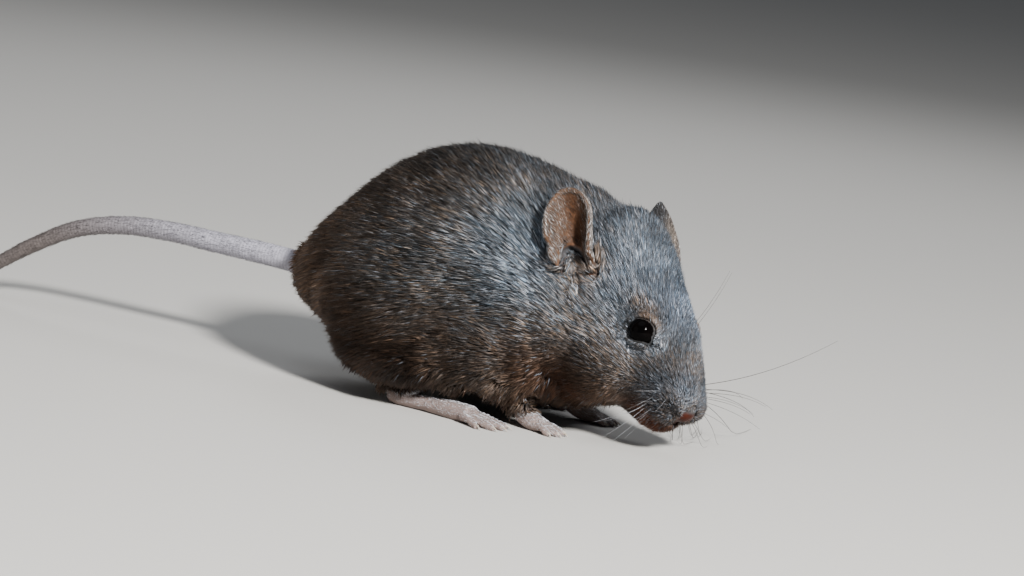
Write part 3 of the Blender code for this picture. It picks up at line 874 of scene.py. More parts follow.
def eyeRing(points):
    # distance from the nearer eye's centre, the way from it, and the angle off the way it looks
    count = len(points)
    best, ways, angles = np.full(count, 1e9), np.zeros((count, 3)), np.full(count, 180.0)
    for side in sides:
        offset, reach, _, angle = roundSide(points, side)
        nearer = reach < best
        best[nearer], ways[nearer], angles[nearer] = reach[nearer], unit(offset)[nearer], angle[nearer]
    return best, ways, angles


def roundEyes(flow, ringReach, ringWay):
    # the coat parts round the eyes instead of running into them
    toEye = np.minimum(0, (flow * ringWay).sum(1)) * smoothStep(*coatPlaces["eyeTurn"], ringReach)
    return flow - toEye[:, None] * ringWay * coatPlaces["eyeTurning"]


def fieldOf(key):
    # the coat's length, density or width by place, before it is softened
    value = 0
    for part in ("trunk", "neck", "leg", "foot", "ear", "tail"):
        value = value + sumOf(regions, *{"leg": legs, "foot": feet}.get(part, [part])) * coatLook[part][key]
    onHead = sumOf(regions, "head", "nose")
    return value + onHead * np.interp(local[:, 0], coatLook["headBack"], coatLook["head" + key.capitalize()])


def bowlOf(places):
    # the lower part of the ears' cups, where the hairs are short and dark
    bowl = np.zeros(len(places))
    for side in sides:
        up, front, out = earLocal(places, side).T
        cup = smoothStep(*coatPlaces["bowlUp"], up) * smoothStep(*coatPlaces["bowlTop"], up)
        cup *= smoothStep(*coatPlaces["bowlAcross"], np.abs(front - coatPlaces["bowlMiddle"]))
        bowl = np.maximum(bowl, cup * smoothStep(*coatPlaces["bowlOut"], np.abs(out)))
    return bowl


def nosePadOf(points):
    offset = (points - boxCentre("nose")) @ headTurn
    offset[:, 2] += coatPlaces["nosePadDrop"]
    pad = smoothStep(*coatPlaces["nosePad"], np.linalg.norm(offset, axis=1))
    return pad * smoothStep(*coatPlaces["nosePadTop"], offset[:, 2])


def lengthOf():
    value = blur(fieldOf("length"), edges, softening["length"])
    for name, distance in (("eyeShort", ringReach), ("tailShort", far(points, tailRoot))):
        least = coatPlaces[name + "Length"]
        value *= least + (1 - least) * smoothStep(*coatPlaces[name], distance)
    value *= 1 + coatPlaces["throatLength"] * patchWeight(local, *coatPlaces["throat"])
    value *= 1 - coatPlaces["earFootShort"] * earFoot
    return value * (1 - coatPlaces["bowlShort"] * bowl * (1 - bareEar))


def densityOf():
    inLids = (ringReach < coatPlaces["lidReach"]) * smoothStep(*coatPlaces["bareLids"], ringAngle)
    value = blur(fieldOf("density"), edges, softening["density"]) * (1 - inLids) * (1 - bareNose)
    value *= 1 + coatPlaces["eyeCrowding"] * smoothStep(*coatPlaces["eyeCrowd"], ringReach)
    value *= 1 - bareFoot * smoothStep(*coatPlaces["sole"], normals[:, 2])  # soles are bare
    for side in sides:
        value *= 1 - coatPlaces["hollowBare"] * earHollow(points, side) * (1 - bareEar)
    return value * (1 - coatPlaces["bowlBare"] * bowl * (1 - bareEar))


points = readPoints(skin.data)
normals = readNormals(skin.data)
edges = readEdges(skin.data)
triangles = readTriangles(skin.data)
skinTree = BVHTree.FromPolygons(points.tolist(), triangles.tolist())
regions = partLegs(regionOf(points), points)
local = inHead(points)
ringReach, ringWay, ringAngle = eyeRing(points)
flow = blur(roundEyes(flowOf(points, regions), ringReach, ringWay), edges, softening["flow"])
flow = alongSurface(flow, normals)
bareEar = blur(sumOf(regions, "ear"), edges, softening["ear"])
bareFoot = blur(sumOf(regions, *feet), edges, softening["foot"])
bareTail = blur(sumOf(regions, "tail"), edges, softening["tail"])
bareNose = nosePadOf(points)
furred = np.clip(1 - bareEar - bareFoot - bareTail, 0, 1)
earFoot = patchWeight(local, *coatPlaces["earFoot"]) * (1 - bareEar)
bowl = bowlOf(points)
length = lengthOf()
density = densityOf()
width = blur(fieldOf("width"), edges, softening["width"])
depth = depthOf(points, regions, edges)
print("fields on the skin")


# colours: soft patches, the same for the skin and the coat

markings = {
    "base": (0.08, 0.07, 0.063),
    "body": (  # place, radii, colour and strength
        ((38, 8.5, 19.5), (7.5, 8, 7.5), (0.185, 0.21, 0.236), 0.92),  # pale grey shoulders
        ((40, 0, 24), (7, 6, 6), (0.08, 0.085, 0.095), 0.7),
        ((26, 13, 16), (13, 8, 8.5), (0.093, 0.096, 0.1), 0.8),
        ((26, 0, 33), (24, 13, 9.5), (0.032, 0.03, 0.029), 0.92),  # dark along the back
        ((31, 12, 12.0), (4.5, 5, 4.5), (0.05, 0.042, 0.037), 0.6),
        ((20, 13, 6), (19, 9, 6.5), (0.009, 0.0042, 0.0021), 0.95),  # lower flank darker and warmer: painted shade with painted warm bounce light
        ((5, 8, 16), (11, 13, 13), (0.044, 0.03, 0.022), 0.9),  # brown rump
        ((14, 14, 10), (9, 6, 6), (0.042, 0.027, 0.018), 0.75),  # and haunches
        # painted shade under the belly
        ((22, 0, 1.5), (24, 9, 3.5), (0.014, 0.0075, 0.004), 0.8),
        # painted shade in the crease between the haunch and the elbow
        ((27, 14, 6.5), (3.5, 3, 2.0), (0.006, 0.003, 0.0016), 0.7),
        ((34, 0, 31), (7, 7, 4.5), (0.038, 0.041, 0.046), 0.8),
        ((40.0, 8.8, 22.0), (2.2, 2.6, 2.8), (0.036, 0.038, 0.044), 0.85),  # painted shadow of the ear, cast behind it
        ((1.6, 0, 12.8), (2.4, 3.0, 2.6), (0.085, 0.072, 0.07), 0.8),
        ((40.6, 9.8, 18.0), (3.2, 3.0, 1.4), (0.2, 0.222, 0.25), 0.6),  # painted highlight on the fold under the ear
    ),
    "head": (
        ((12, 0, 9), (12, 9, 8), (0.056, 0.065, 0.077), 0.92),  # grey crown and bridge
        ((7.5, 1.5, 8), (4, 3.5, 2.5), (0.092, 0.105, 0.128), 0.7),
        ((12.5, 6.2, 6.0), (3.8, 2.4, 2.8), (0.14, 0.157, 0.18), 0.75),  # paler behind the eye
        ((14, 8, 0), (6, 4, 4.5), (0.1, 0.1, 0.102), 0.78),
        ((11, 5, -6), (9, 5, 4.2), (0.032, 0.014, 0.0065), 0.93),  # brown lower cheek and throat
        ((0.8, 1.4, 2.4), (2.6, 2.2, 2.4), (0.058, 0.062, 0.071), 0.85),
        ((2.4, 2.8, -0.6), (3.2, 3.0, 2.9), (0.04, 0.042, 0.048), 0.88),  # dark muzzle
        ((3.3, 3.7, 1.9), (1.8, 2.0, 1.5), (0.046, 0.05, 0.058), 0.6),
        ((3.6, 2.6, -2.1), (2.4, 2.0, 1.2), (0.036, 0.017, 0.009), 0.85),
        ((2.0, 0.8, -2.6), (3.2, 2.4, 1.4), (0.048, 0.017, 0.0085), 0.92),  # reddish lips and chin
        ((17.3, 8.2, 4.7), (2.6, 1.8, 1.7), (0.075, 0.052, 0.037), 0.85),  # buff under the ear and before it
        ((16.4, 6.9, 7.1), (1.8, 1.3, 1.3), (0.13, 0.095, 0.07), 0.6),
        ((16.4, 8.1, 3.7), (1.4, 1.2, 0.8), (0.045, 0.04, 0.037), 0.7),
        ((9.4, 4.8, 6.6), (2.2, 1.5, 0.9), (0.2, 0.145, 0.105), 0.55),  # buff ring over the eye
        ((6.0, 4.4, 4.4), (1.3, 1.3, 1.3), (0.17, 0.185, 0.21), 0.55),
        ((8.3, 4.7, 2.8), (1.8, 1.4, 0.9), (0.18, 0.195, 0.22), 0.75),  # paler under the eye: painted light over the shade below the lower lid
        ((8.9, 4.0, 6.9), (0.7, 0.7, 0.55), (0.014, 0.011, 0.01), 0.85),  # dark brow
    ),
    "ear": (0.075, 0.04, 0.023), "earGroove": (0.085, 0.036, 0.016), "earBack": (0.03, 0.027, 0.026),
    # earEdge: buff hair with painted sunlight, on the front edge of the ear's back
    "earEdge": (0.12, 0.1, 0.085), "earHair": (0.17, 0.16, 0.155), "earGrooveHair": (0.055, 0.029, 0.017),
    "earBackHair": (0.07, 0.072, 0.078),
    "foot": (0.2, 0.15, 0.135), "footHair": (0.4, 0.4, 0.42),
    "tail": (0.34, 0.33, 0.38), "tailEnd": (0.13, 0.11, 0.105),
    "nose": (0.03, 0.0045, 0.0008),
    "lid": (0.005, 0.004, 0.0035),
    # cool is a bluish tint that stands in for painted sky reflection on the hairs; warm is buff hair
    "cool": (0.81, 1.01, 1.19), "warm": (1.32, 0.99, 0.72), "glint": (0.5, 0.55, 0.64),
    "patchSize": 3.2, "patchStrength": 0.55, "skinShade": 0.55, "canal": (0.25, 0.6),
    "tailFade": (8, 42),  # how far down the tail its end's colour begins and is full
    "grooveAcross": (0.5, 1.2), "grooveTop": (11.2, 9.6), "grooveFoot": (2.6, 0.6), "grooveFootShare": 0.9,
    "back": (0.1, -0.3), "backUp": (1.5, 3.5), "backEdge": (0.9, 2.4), "earBelow": (-3, -1),
}


def patched(colour, places, patches):
    for place, radii, tint, strength in patches:
        weight = (strength * patchWeight(places, place, radii))[:, None]
        colour = mixed(colour, np.array(tint), weight)
    return colour


def coatColour(points):
    local = inHead(points)
    colour = np.tile(np.array(markings["base"]), (len(points), 1))
    colour = patched(colour, points, markings["body"])
    onHead = smoothStep(*coatPlaces["headTintEnd"], local[:, 0])[:, None]
    colour = mixed(colour, patched(colour, local, markings["head"]), onHead)
    uneven = np.array([noise.noise(place) for place in (points / markings["patchSize"]).tolist()])
    return colour * np.exp(markings["patchStrength"] * uneven)[:, None]


def setColour(mesh, name, colours):
    attribute = mesh.color_attributes.new(name=name, type="FLOAT_COLOR", domain="POINT")
    filled = np.ones((len(colours), 4), np.float32)
    filled[:, :3] = np.clip(colours, 0, 1)
    attribute.data.foreach_set("color", filled.ravel())


def setValue(mesh, name, values):
    attribute = mesh.attributes.new(name, "FLOAT", "POINT")
    attribute.data.foreach_set("value", values.astype(np.float32))


def wornBy(mask, colour, name):
    return mixed(colour, np.array(markings[name]), mask[:, None])


def onEarSide(points, side):
    # 1 on the side of the head where that ear stands
    return (inHead(points)[:, 1] * sides[side] > 0).astype(float)


def earTint(points, normals, inner, groove, back):
    # the inside of the ear, its groove and its back each have a colour
    look = markings
    colour = np.tile(np.array(look[inner]), (len(points), 1))
    for side in sides:
        facing = earFrame(side)[2]
        up, front = earLocal(points, side).T[:2]
        near = (onEarSide(points, side) * smoothStep(*look["earBelow"], up))[:, None]
        middle, wide = look["grooveAcross"]
        deep = hump(front - middle, wide) * smoothStep(*look["grooveTop"], up)
        deep = np.maximum(deep, smoothStep(*look["grooveFoot"], up) * look["grooveFootShare"])[:, None]
        behind = (smoothStep(*look["back"], normals @ facing) * smoothStep(*look["backUp"], up))[:, None]
        # the back is paler towards the front edge: buff hair there, with painted sunlight on the edge
        edge = smoothStep(*look["backEdge"], front)[:, None]
        rear = mixed(np.array(look[back]), np.array(look["earEdge"]), edge)
        tint = mixed(mixed(np.array(look[inner]), np.array(look[groove]), deep), rear, behind)
        colour = mixed(colour, tint, near)
    return colour


def tailTint(along):
    share = smoothStep(*markings["tailFade"], along)[:, None]
    return mixed(np.array(markings["tail"]), np.array(markings["tailEnd"]), share)


def alongTail(points):
    # how far down the tail each point lies
    nearest = nearestOn(tailPath, points)
    steps = np.concatenate(([0], np.cumsum(np.linalg.norm(np.diff(tailPath, axis=0), axis=1))))
    return steps[nearest] + ((points - tailPath[nearest]) * tailWays[nearest]).sum(1)


def skinColour():
    colour = coatColour(points) * markings["skinShade"]
    canal = np.clip(sum(earHollow(points, side) for side in sides), 0, 1)
    inEar = np.maximum(bareEar, smoothStep(*markings["canal"], canal))[:, None]
    colour = mixed(colour, earTint(points, normals, "ear", "earGroove", "earBack"), inEar)
    colour = wornBy(np.maximum(bowl, earFoot) * (1 - bareEar), colour, "earGroove")
    colour = wornBy(bareFoot, colour, "foot")
    colour = mixed(colour, tailTint(tailAlong), bareTail[:, None])
    colour = wornBy(bareNose, colour, "nose")
    lids = (ringReach < coatPlaces["lidReach"]) * smoothStep(*coatPlaces["lidSkin"], ringAngle)
    return wornBy(lids, colour, "lid")


tailAlong = alongTail(points)
setColour(skin.data, "coatColour", skinColour())
setValue(skin.data, "furred", furred * (1 - bareNose))
setValue(skin.data, "wet", bareNose)
setValue(skin.data, "tailRings", bareTail)
setValue(skin.data, "tailAlong", tailAlong)

# an unwrap of the skin's own shape, on which the coat's patches find their places
inEditMode(skin, bpy.ops.uv.smart_project, angle_limit=math.radians(75), island_margin=0.002)
skin.data.uv_layers.active.name = "OFBake"
print("skin coloured and unwrapped")


# materials

def newMaterial(name):
    material = bpy.data.materials.new(name)
    material.use_nodes = True
    return material, material.node_tree, material.node_tree.nodes["Principled BSDF"]


def addNode(tree, kind, **values):
    node = tree.nodes.new(kind)
    for name, value in values.items():
        setattr(node, name, value)
    return node


def feed(tree, socket, value):
    # gives a socket a number, or links it to another socket
    if isinstance(value, (int, float)):
        socket.default_value = value
    else:
        tree.links.new(value, socket)


def multiplied(tree, factor, first, second):
    node = addNode(tree, "ShaderNodeMix", data_type="RGBA", blend_type="MULTIPLY")
    for socket, value in ((node.inputs["Factor"], factor), (node.inputs[6], first), (node.inputs[7], second)):
        feed(tree, socket, value)
    return node.outputs[2]


def mathNode(tree, operation, first, second=0.0):
    node = addNode(tree, "ShaderNodeMath", operation=operation)
    for socket, value in zip(node.inputs, (first, second)):
        feed(tree, socket, value)
    return node.outputs[0]


def noiseNode(tree, vector, scale, detail=3.0):
    node = addNode(tree, "ShaderNodeTexNoise")
    node.inputs["Scale"].default_value = scale
    node.inputs["Detail"].default_value = detail
    tree.links.new(vector, node.inputs["Vector"])
    return node.outputs["Fac"]


def rampNode(tree, value, stops):
    node = addNode(tree, "ShaderNodeValToRGB")
    ramp = node.color_ramp
    while len(ramp.elements) < len(stops):
        ramp.elements.new(0.5)
    for element, (place, colour) in zip(ramp.elements, stops):
        element.position = place
        element.color = (*colour, 1) if isinstance(colour, tuple) else (colour, colour, colour, 1)
    tree.links.new(value, node.inputs["Fac"])
    return node.outputs["Color"]


def objectPlace(tree):
    return addNode(tree, "ShaderNodeTexCoord").outputs["Object"]


def attributeNode(tree, name, output):
    return addNode(tree, "ShaderNodeAttribute", attribute_name=name).outputs[output]


def bumpNode(tree, height, strength, distance, before=None):
    node = addNode(tree, "ShaderNodeBump")
    node.inputs["Strength"].default_value = strength
    node.inputs["Distance"].default_value = distance
    tree.links.new(height, node.inputs["Height"])
    if before:
        tree.links.new(before, node.inputs["Normal"])
    return node.outputs["Normal"]


skinFinish = {  # a bump is its strength, and its depth in metres
    "mottle": 900, "mottleTones": ((0.3, 0.84), (0.7, 1.12)), "ringTones": ((0.0, 0.9), (1.0, 1.05)),
    "rough": 0.62, "wetSmoother": 0.2, "specular": 0.18,
    "grain": 2600, "grainBump": (0.5, 0.00012), "ringBump": (0.25, 0.00003),
}
toneStops = (0.35, 0.65)  # where the first of two tones ends and the second begins
hairFinish = {
    "bands": ((0.0, 0.22), (0.4, 0.62), (0.75, 1.2), (1.0, 1.5)),  # darker roots, paler tips: the hairs' own bands, with painted shade deep among the roots
    "fleck": 1500, "fleckTones": ((0.3, 0.8), (0.7, 1.2)), "rough": 0.46, "specular": 0.22,
}


def skinMaterial():
    look = skinFinish
    material, tree, surface = newMaterial("mouseSkin")
    place = objectPlace(tree)
    mottle = rampNode(tree, noiseNode(tree, place, look["mottle"]), look["mottleTones"])
    colour = multiplied(tree, 1.0, attributeNode(tree, "coatColour", "Color"), mottle)
    along = attributeNode(tree, "tailAlong", "Fac")
    rings = mathNode(tree, "SINE", mathNode(tree, "MULTIPLY", along, 2 * math.pi / tailShape["rings"]))
    tailMask = attributeNode(tree, "tailRings", "Fac")
    ringShade = rampNode(tree, mathNode(tree, "MULTIPLY_ADD", rings, 0.5), look["ringTones"])
    tree.links.new(multiplied(tree, tailMask, colour, ringShade), surface.inputs["Base Color"])
    wet = mathNode(tree, "MULTIPLY", attributeNode(tree, "wet", "Fac"), look["wetSmoother"])
    tree.links.new(mathNode(tree, "SUBTRACT", look["rough"], wet), surface.inputs["Roughness"])
    surface.inputs["Specular IOR Level"].default_value = look["specular"]
    bump = bumpNode(tree, noiseNode(tree, place, look["grain"], 2.0), *look["grainBump"])
    bump = bumpNode(tree, mathNode(tree, "MULTIPLY", rings, tailMask), *look["ringBump"], bump)
    tree.links.new(bump, surface.inputs["Normal"])
    return material


def coatMaterial():
    look = hairFinish
    material, tree, surface = newMaterial("mouseCoat")
    bands = rampNode(tree, attributeNode(tree, "along", "Fac"), look["bands"])
    colour = multiplied(tree, 1.0, attributeNode(tree, "coatColour", "Color"), bands)
    fleck = rampNode(tree, noiseNode(tree, objectPlace(tree), look["fleck"]), look["fleckTones"])
    tree.links.new(multiplied(tree, 1.0, colour, fleck), surface.inputs["Base Color"])
    surface.inputs["Roughness"].default_value = look["rough"]
    surface.inputs["Specular IOR Level"].default_value = look["specular"]
    return material


def twoToneMaterial(name, tones, scale, rough):
    material, tree, surface = newMaterial(name)
    spots = noiseNode(tree, objectPlace(tree), scale)
    colour = rampNode(tree, spots, list(zip(toneStops, tones)))
    tree.links.new(colour, surface.inputs["Base Color"])
    surface.inputs["Roughness"].default_value = rough
    return material


coatFinish = coatMaterial()
skin.data.materials.clear()
skin.data.materials.append(skinMaterial())
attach(skin, "root")
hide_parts(*fleshNodes, *tailNodes, *earNodes)


# the eyes

eyeFinish = {
    "depths": ((0.3, (0.0005, 0.0005, 0.0006)), (0.7, (0.0014, 0.001, 0.001))), "depthScale": 700,
    "rough": 0.07, "specular": 0.035,
}


def eyeMaterial(side):
    material, tree, surface = newMaterial("eyeGloss_" + side)
    colour = rampNode(tree, noiseNode(tree, objectPlace(tree), eyeFinish["depthScale"]), eyeFinish["depths"])
    tree.links.new(colour, surface.inputs["Base Color"])
    surface.inputs["Roughness"].default_value = eyeFinish["rough"]
    surface.inputs["Specular IOR Level"].default_value = eyeFinish["specular"]
    return material


def makeEye(side):
    deselectAll()
    around, down = eyeShape["sides"]
    bpy.ops.mesh.primitive_uv_sphere_add(
        segments=around, ring_count=down, radius=eyeShape["radius"] * mm, location=eyeAt[side] * mm
    )
    eye = settle(bpy.context.object)
    eye.name = "eyeball_" + side
    offset = readPoints(eye.data) - eyeAt[side]
    facing = unit(offset) @ unit(onSide(eyeShape["way"], sides[side]))
    bulge = 1 + eyeShape["bulge"] * smoothStep(eyeShape["bulgeFrom"], 1.0, facing)
    writePoints(eye.data, eyeAt[side] + offset * bulge[:, None])
    smoothShade(eye)
    eye.data.materials.append(eyeMaterial(side))
    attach(eye, "root")
    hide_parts("eye_" + side)


for side in sides:
    makeEye(side)
print("eyes")


# the coat: solid, tapering locks that lie along the body

furSetup = {
    "seed": 7, "quickShare": 0.35, "mostTriangles": 190000, "patch": 0.003,
    "clumpSpacing": 0.5, "clumpReach": 3.2, "clumpMost": 1.3, "clumpLeast": 0.25, "clumpSteps": 4,
    "clumpOver": 0.05,
    "clumpLength": (0.82, 0.3), "ownLength": (0.85, 0.3), "straying": 0.14, "ownStraying": 0.2,
    "guardShare": 0.24, "guardFrom": (2.4, 3.6), "guardLength": 1.22, "guardRise": 1.2, "guardProud": 0.12,
    "wispShare": 0.012, "wispRise": (0.35, 0.8), "wispFrom": (0.6, 2.5), "wispWidth": 0.7,
    "bareLift": 0.1, "middleHeight": (0.5, 0.3), "tipHeight": (0.75, 0.45), "tipClear": 0.02,
    "middleProud": 0.5, "tipProud": (0.6, 0.8), "steepest": 0.85, "middleMost": 0.8,
    "clumpPull": 0.16, "pullFrom": (0.8, 3.0), "ownPull": (0.4, 0.6), "middlePull": 0.35,
    "sink": 0.12, "bareSink": 0.03, "overFloor": 0.06, "ridge": 0.3, "bow": 0.12, "strayed": 0.45,
    "pad": ((2.4, 2.8, -0.6), (2.4, 2.2, 2.2)), "padPull": 0.55, "padPale": 0.2, "upEar": 2.6,
}
furTones = {
    "clumpWarmth": 0.6, "warmthSpread": 0.3, "brown": (1.0, 0.6), "brownWarmth": 0.6,
    "blue": (0.98, 1.15), "blueCooling": 0.45, "even": 0.26, "uneven": 0.22, "clump": 0.16,
    # guard locks are painted brighter and the rest darker: the hairs' own tones, with painted glints on guard
    # hairs and painted shade among the rest
    "fullPaleness": 0.11, "palenessLimits": (0.35, 1.4), "guard": 0.9, "under": -0.42, "calming": 0.8,
    "paleShare": 0.06, "glintShare": 0.7, "earSpread": 0.75, "bareSpread": 0.2, "tailHair": 0.9,
}
standingCoat = (  # where the coat stands out: place and radii in the head's frame, and height
    ((2.2, 3.0, -0.3), (2.8, 2.4, 2.4), 1.1), ((9, 5, -5), (6, 4, 3), 0.6), ((16, 2, 12), (8, 6, 3), 0.85),
    ((11, 1, -6.5), (5, 4, 3.0), 1.2), ((6, 0, 7), (6, 4, 3), 0.35), ((1.4, 0, -2.6), (3, 2.4, 1.4), 0.7),
)
standingBody = (
    ((22, 12, 4), (18, 7, 3), 0.7), ((22, 0, 31), (20, 12, 5), 0.2), ((38, 9, 6), (6, 6, 5), 0.6),
)
lockShape = {  # a lock's corners are its two sides, its root and its tip
    "faces": (2, 0, 1, 3, 1, 0, 2, 3, 0, 2, 1, 3),
    "spots": ((-0.5, 0), (0.5, 0), (0, -0.5), (0, 0.5)), "along": (0.5, 0.5, 0.0, 1.0),
}
skinFields = {
    "root": points, "upright": normals, "way": flow, "reach": length, "width": width, "depth": depth,
    "furred": furred, "ear": bareEar, "foot": bareFoot, "tail": bareTail, "tailAlong": tailAlong,
    "earFoot": earFoot, "bowl": bowl,
}


def vary(limits, share):
    # from a least value up by a random share of a range
    return limits[0] + limits[1] * share


def sampleRoots(density, rng):
    # random places on the skin's triangles, as their corners and the share of each corner
    a, b, c = (points[triangles[:, k]] for k in range(3))
    area = np.linalg.norm(np.cross(b - a, c - a), axis=1) / 2
    expected = area * density[triangles].mean(1)
    count = np.floor(expected + rng.random(len(expected))).astype(int)
    face = np.repeat(np.arange(len(triangles)), count)
    u, v = rng.random((2, len(face)))
    flip = u + v > 1
    u, v = np.where(flip, 1 - u, u), np.where(flip, 1 - v, v)
    return face, np.stack((1 - u - v, u, v), 1)


def atRoots(values, corners, share):
    picked = values[corners]
    return (picked * (share if values.ndim == 1 else share[:, :, None])).sum(1)


def plantLocks(rng):
    # where the locks stand, what the skin's fields say there, and which piece each belongs to
    face, share = sampleRoots(density * (1.0), rng)
    corners = triangles[face]
    locks = {name: atRoots(values, corners, share) for name, values in skinFields.items()}
    locks["upright"] = unit(locks["upright"])
    locks["way"] = alongSurface(locks["way"], locks["upright"])
    locks["bare"] = 1 - locks["furred"]
    locks["pad"] = patchWeight(inHead(locks["root"]), *furSetup["pad"])
    locks["proud"] = standing(locks["root"]) * (1 - locks["bare"])
    uv = np.empty(len(skin.data.loops) * 2, np.float32)
    skin.data.uv_layers["OFBake"].data.foreach_get("uv", uv)
    locks["uv"] = (uv.reshape(-1, 3, 2)[face] * share[:, :, None]).sum(1)
    owner = np.argmax(np.stack(list(regions.values()), 1), 1)[corners[:, 0]]
    locks["piece"] = pieceNames(locks["root"], owner)
    return locks


def pieceNames(roots, owner):
    # the coat's pieces: one for each part of the body and side, with the trunk in two halves
    labels = np.array(["limb" if "leg" in name or "foot" in name else name.split("_")[0] for name in regions])
    labels = labels[owner]
    labels[labels == "nose"] = "head"
    sideLabel = np.where(roots[:, 1] > 0, "Left", "Right")
    halfTrunk = np.where(roots[:, 0] > np.median(roots[labels == "trunk", 0]), "Fore", "Rear")
    names = np.array(["coat" + label.capitalize() for label in labels], object)
    names = names + np.where(labels == "trunk", halfTrunk, "").astype(object)
    return names + np.where(labels == "tail", "", sideLabel).astype(object)


def standing(points):
    height = np.zeros(len(points))
    for places, patches in ((inHead(points), standingCoat), (points, standingBody)):
        for place, radii, most in patches:
            height = np.maximum(height, most * patchWeight(places, place, radii))
    return height


def clumpsOf(roots, spacing, rng):
    # the lock that leads each lock's clump
    leaders = {}
    cells = np.floor(roots / spacing[:, None]).astype(int)
    for index in rng.permutation(len(roots)).tolist():
        leaders.setdefault(tuple(cells[index]), index)
    tree = KDTree(len(leaders))
    for leader in leaders.values():
        tree.insert(roots[leader], leader)
    tree.balance()
    return np.array([tree.find(root)[1] for root in roots])


def varyLocks(locks, rng):
    # each clump's and each lock's own length and way
    look = furSetup
    count = len(locks["root"])
    spacing = look["clumpSpacing"] * np.minimum(look["clumpMost"], locks["reach"] / look["clumpReach"])
    spacing = np.maximum(spacing, look["clumpLeast"])
    spacing = np.round(spacing * look["clumpSteps"]) / look["clumpSteps"] + look["clumpOver"]
    leader = clumpsOf(locks["root"], spacing, rng)
    clump, own = rng.random((count, 4))[leader], rng.random((count, 6))
    nearEye = smoothStep(*look["guardFrom"], eyeRing(locks["root"])[0])
    guard = own[:, 5] < look["guardShare"] * nearEye
    locks["wisp"] = (own[:, 5] < look["wispShare"]) & (locks["bare"] < 0.5)
    locks["reach"] *= vary(look["clumpLength"], clump[:, 0])
    locks["reach"] *= vary(look["ownLength"], own[:, 0]) * np.where(guard, look["guardLength"], 1.0)
    stray = (clump[:, 1] - 0.5) * 2 * look["straying"] + (own[:, 1] - 0.5) * look["ownStraying"]
    locks["way"] = unit(locks["way"] + np.cross(locks["upright"], locks["way"]) * stray[:, None])
    locks.update(leader=leader, clump=clump, own=own, guard=guard)


def lockHeights(locks):
    # how high the middle and the tip of each lock stand over the skin
    look, own, reach = furSetup, locks["own"], locks["reach"]
    lift = np.where(locks["bare"] > 0.5, look["bareLift"], locks["depth"])
    middle = lift * vary(look["middleHeight"], own[:, 2]) + locks["proud"] * look["middleProud"]
    tip = lift * vary(look["tipHeight"], own[:, 3]) * np.where(locks["guard"], look["guardRise"], 1.0)
    tip += look["tipClear"] + locks["proud"] * vary(look["tipProud"], own[:, 4])
    tip += locks["guard"] * look["guardProud"] * (1 - locks["bare"])
    least, most = look["wispRise"]
    tip += locks["wisp"] * (least + (most - least) * own[:, 2]) * smoothStep(*look["wispFrom"], reach)
    tip = np.minimum(tip, reach * look["steepest"])
    return lift, np.minimum(middle, tip * look["middleMost"]), tip


def upTheEar(places):
    high = np.zeros(len(places), bool)
    for side in sides:
        high |= (earLocal(places, side)[:, 0] > furSetup["upEar"]) & (onEarSide(places, side) > 0)
    return high


def onSkin(places, heights):
    # moves each place to its height over the skin, and says whether it came to lie on an ear
    moved, faces = np.empty_like(places), np.empty(len(places), int)
    for index, (start, height) in enumerate(zip(places.tolist(), heights.tolist())):
        found, normal, faces[index] = skinTree.find_nearest(start)[:3]
        moved[index] = [place + lean * height for place, lean in zip(found, normal)]
    return moved, (bareEar[triangles[faces]].mean(1) > 0.5) & upTheEar(moved)


def layLocks(locks):
    # the root, middle and tip of each lock, and which locks lie clear of the ears and eyes
    look, roots, bare, leader = furSetup, locks["root"], locks["bare"], locks["leader"]
    lift, middleHeight, tipHeight = lockHeights(locks)
    run = np.sqrt(locks["reach"] ** 2 - tipHeight**2)
    mids, midOnEar = onSkin(roots + locks["way"] * (run * 0.5)[:, None], middleHeight)
    tips, tipOnEar = onSkin(roots + locks["way"] * run[:, None], tipHeight)
    pull = look["clumpPull"] * smoothStep(*look["pullFrom"], locks["reach"])
    pull = np.maximum(pull, look["padPull"] * locks["pad"])
    pull = (pull * vary(look["ownPull"], locks["own"][:, 4]) * (1 - bare))[:, None]
    tips = tips + (tips[leader] - tips) * pull
    mids = mids + (mids[leader] - mids) * pull * look["middlePull"]
    starts = roots - locks["upright"] * np.where(bare > 0.5, look["bareSink"], look["sink"])[:, None]
    for places in (starts, mids, tips):
        places[:, 2] = np.maximum(places[:, 2], look["overFloor"])
    limit = look["strayed"] * locks["reach"] + lift + locks["proud"]
    clear = np.linalg.norm(tips - roots - locks["way"] * run[:, None], axis=1) < limit
    clear &= (bare > 0.5) | ~((bowlOf(tips) > coatPlaces["bowlClear"]) | midOnEar | tipOnEar)
    leastReach, leastAngle = coatPlaces["clearLids"]
    for places in (tips, mids):
        reach, angle = eyeRing(places)[::2]
        clear &= (reach > leastReach) | (angle > leastAngle)
    locks.update(start=starts, middle=mids, tip=tips, clear=clear)
    locks["width"] = locks["width"] * np.where(locks["wisp"], look["wispWidth"], 1)


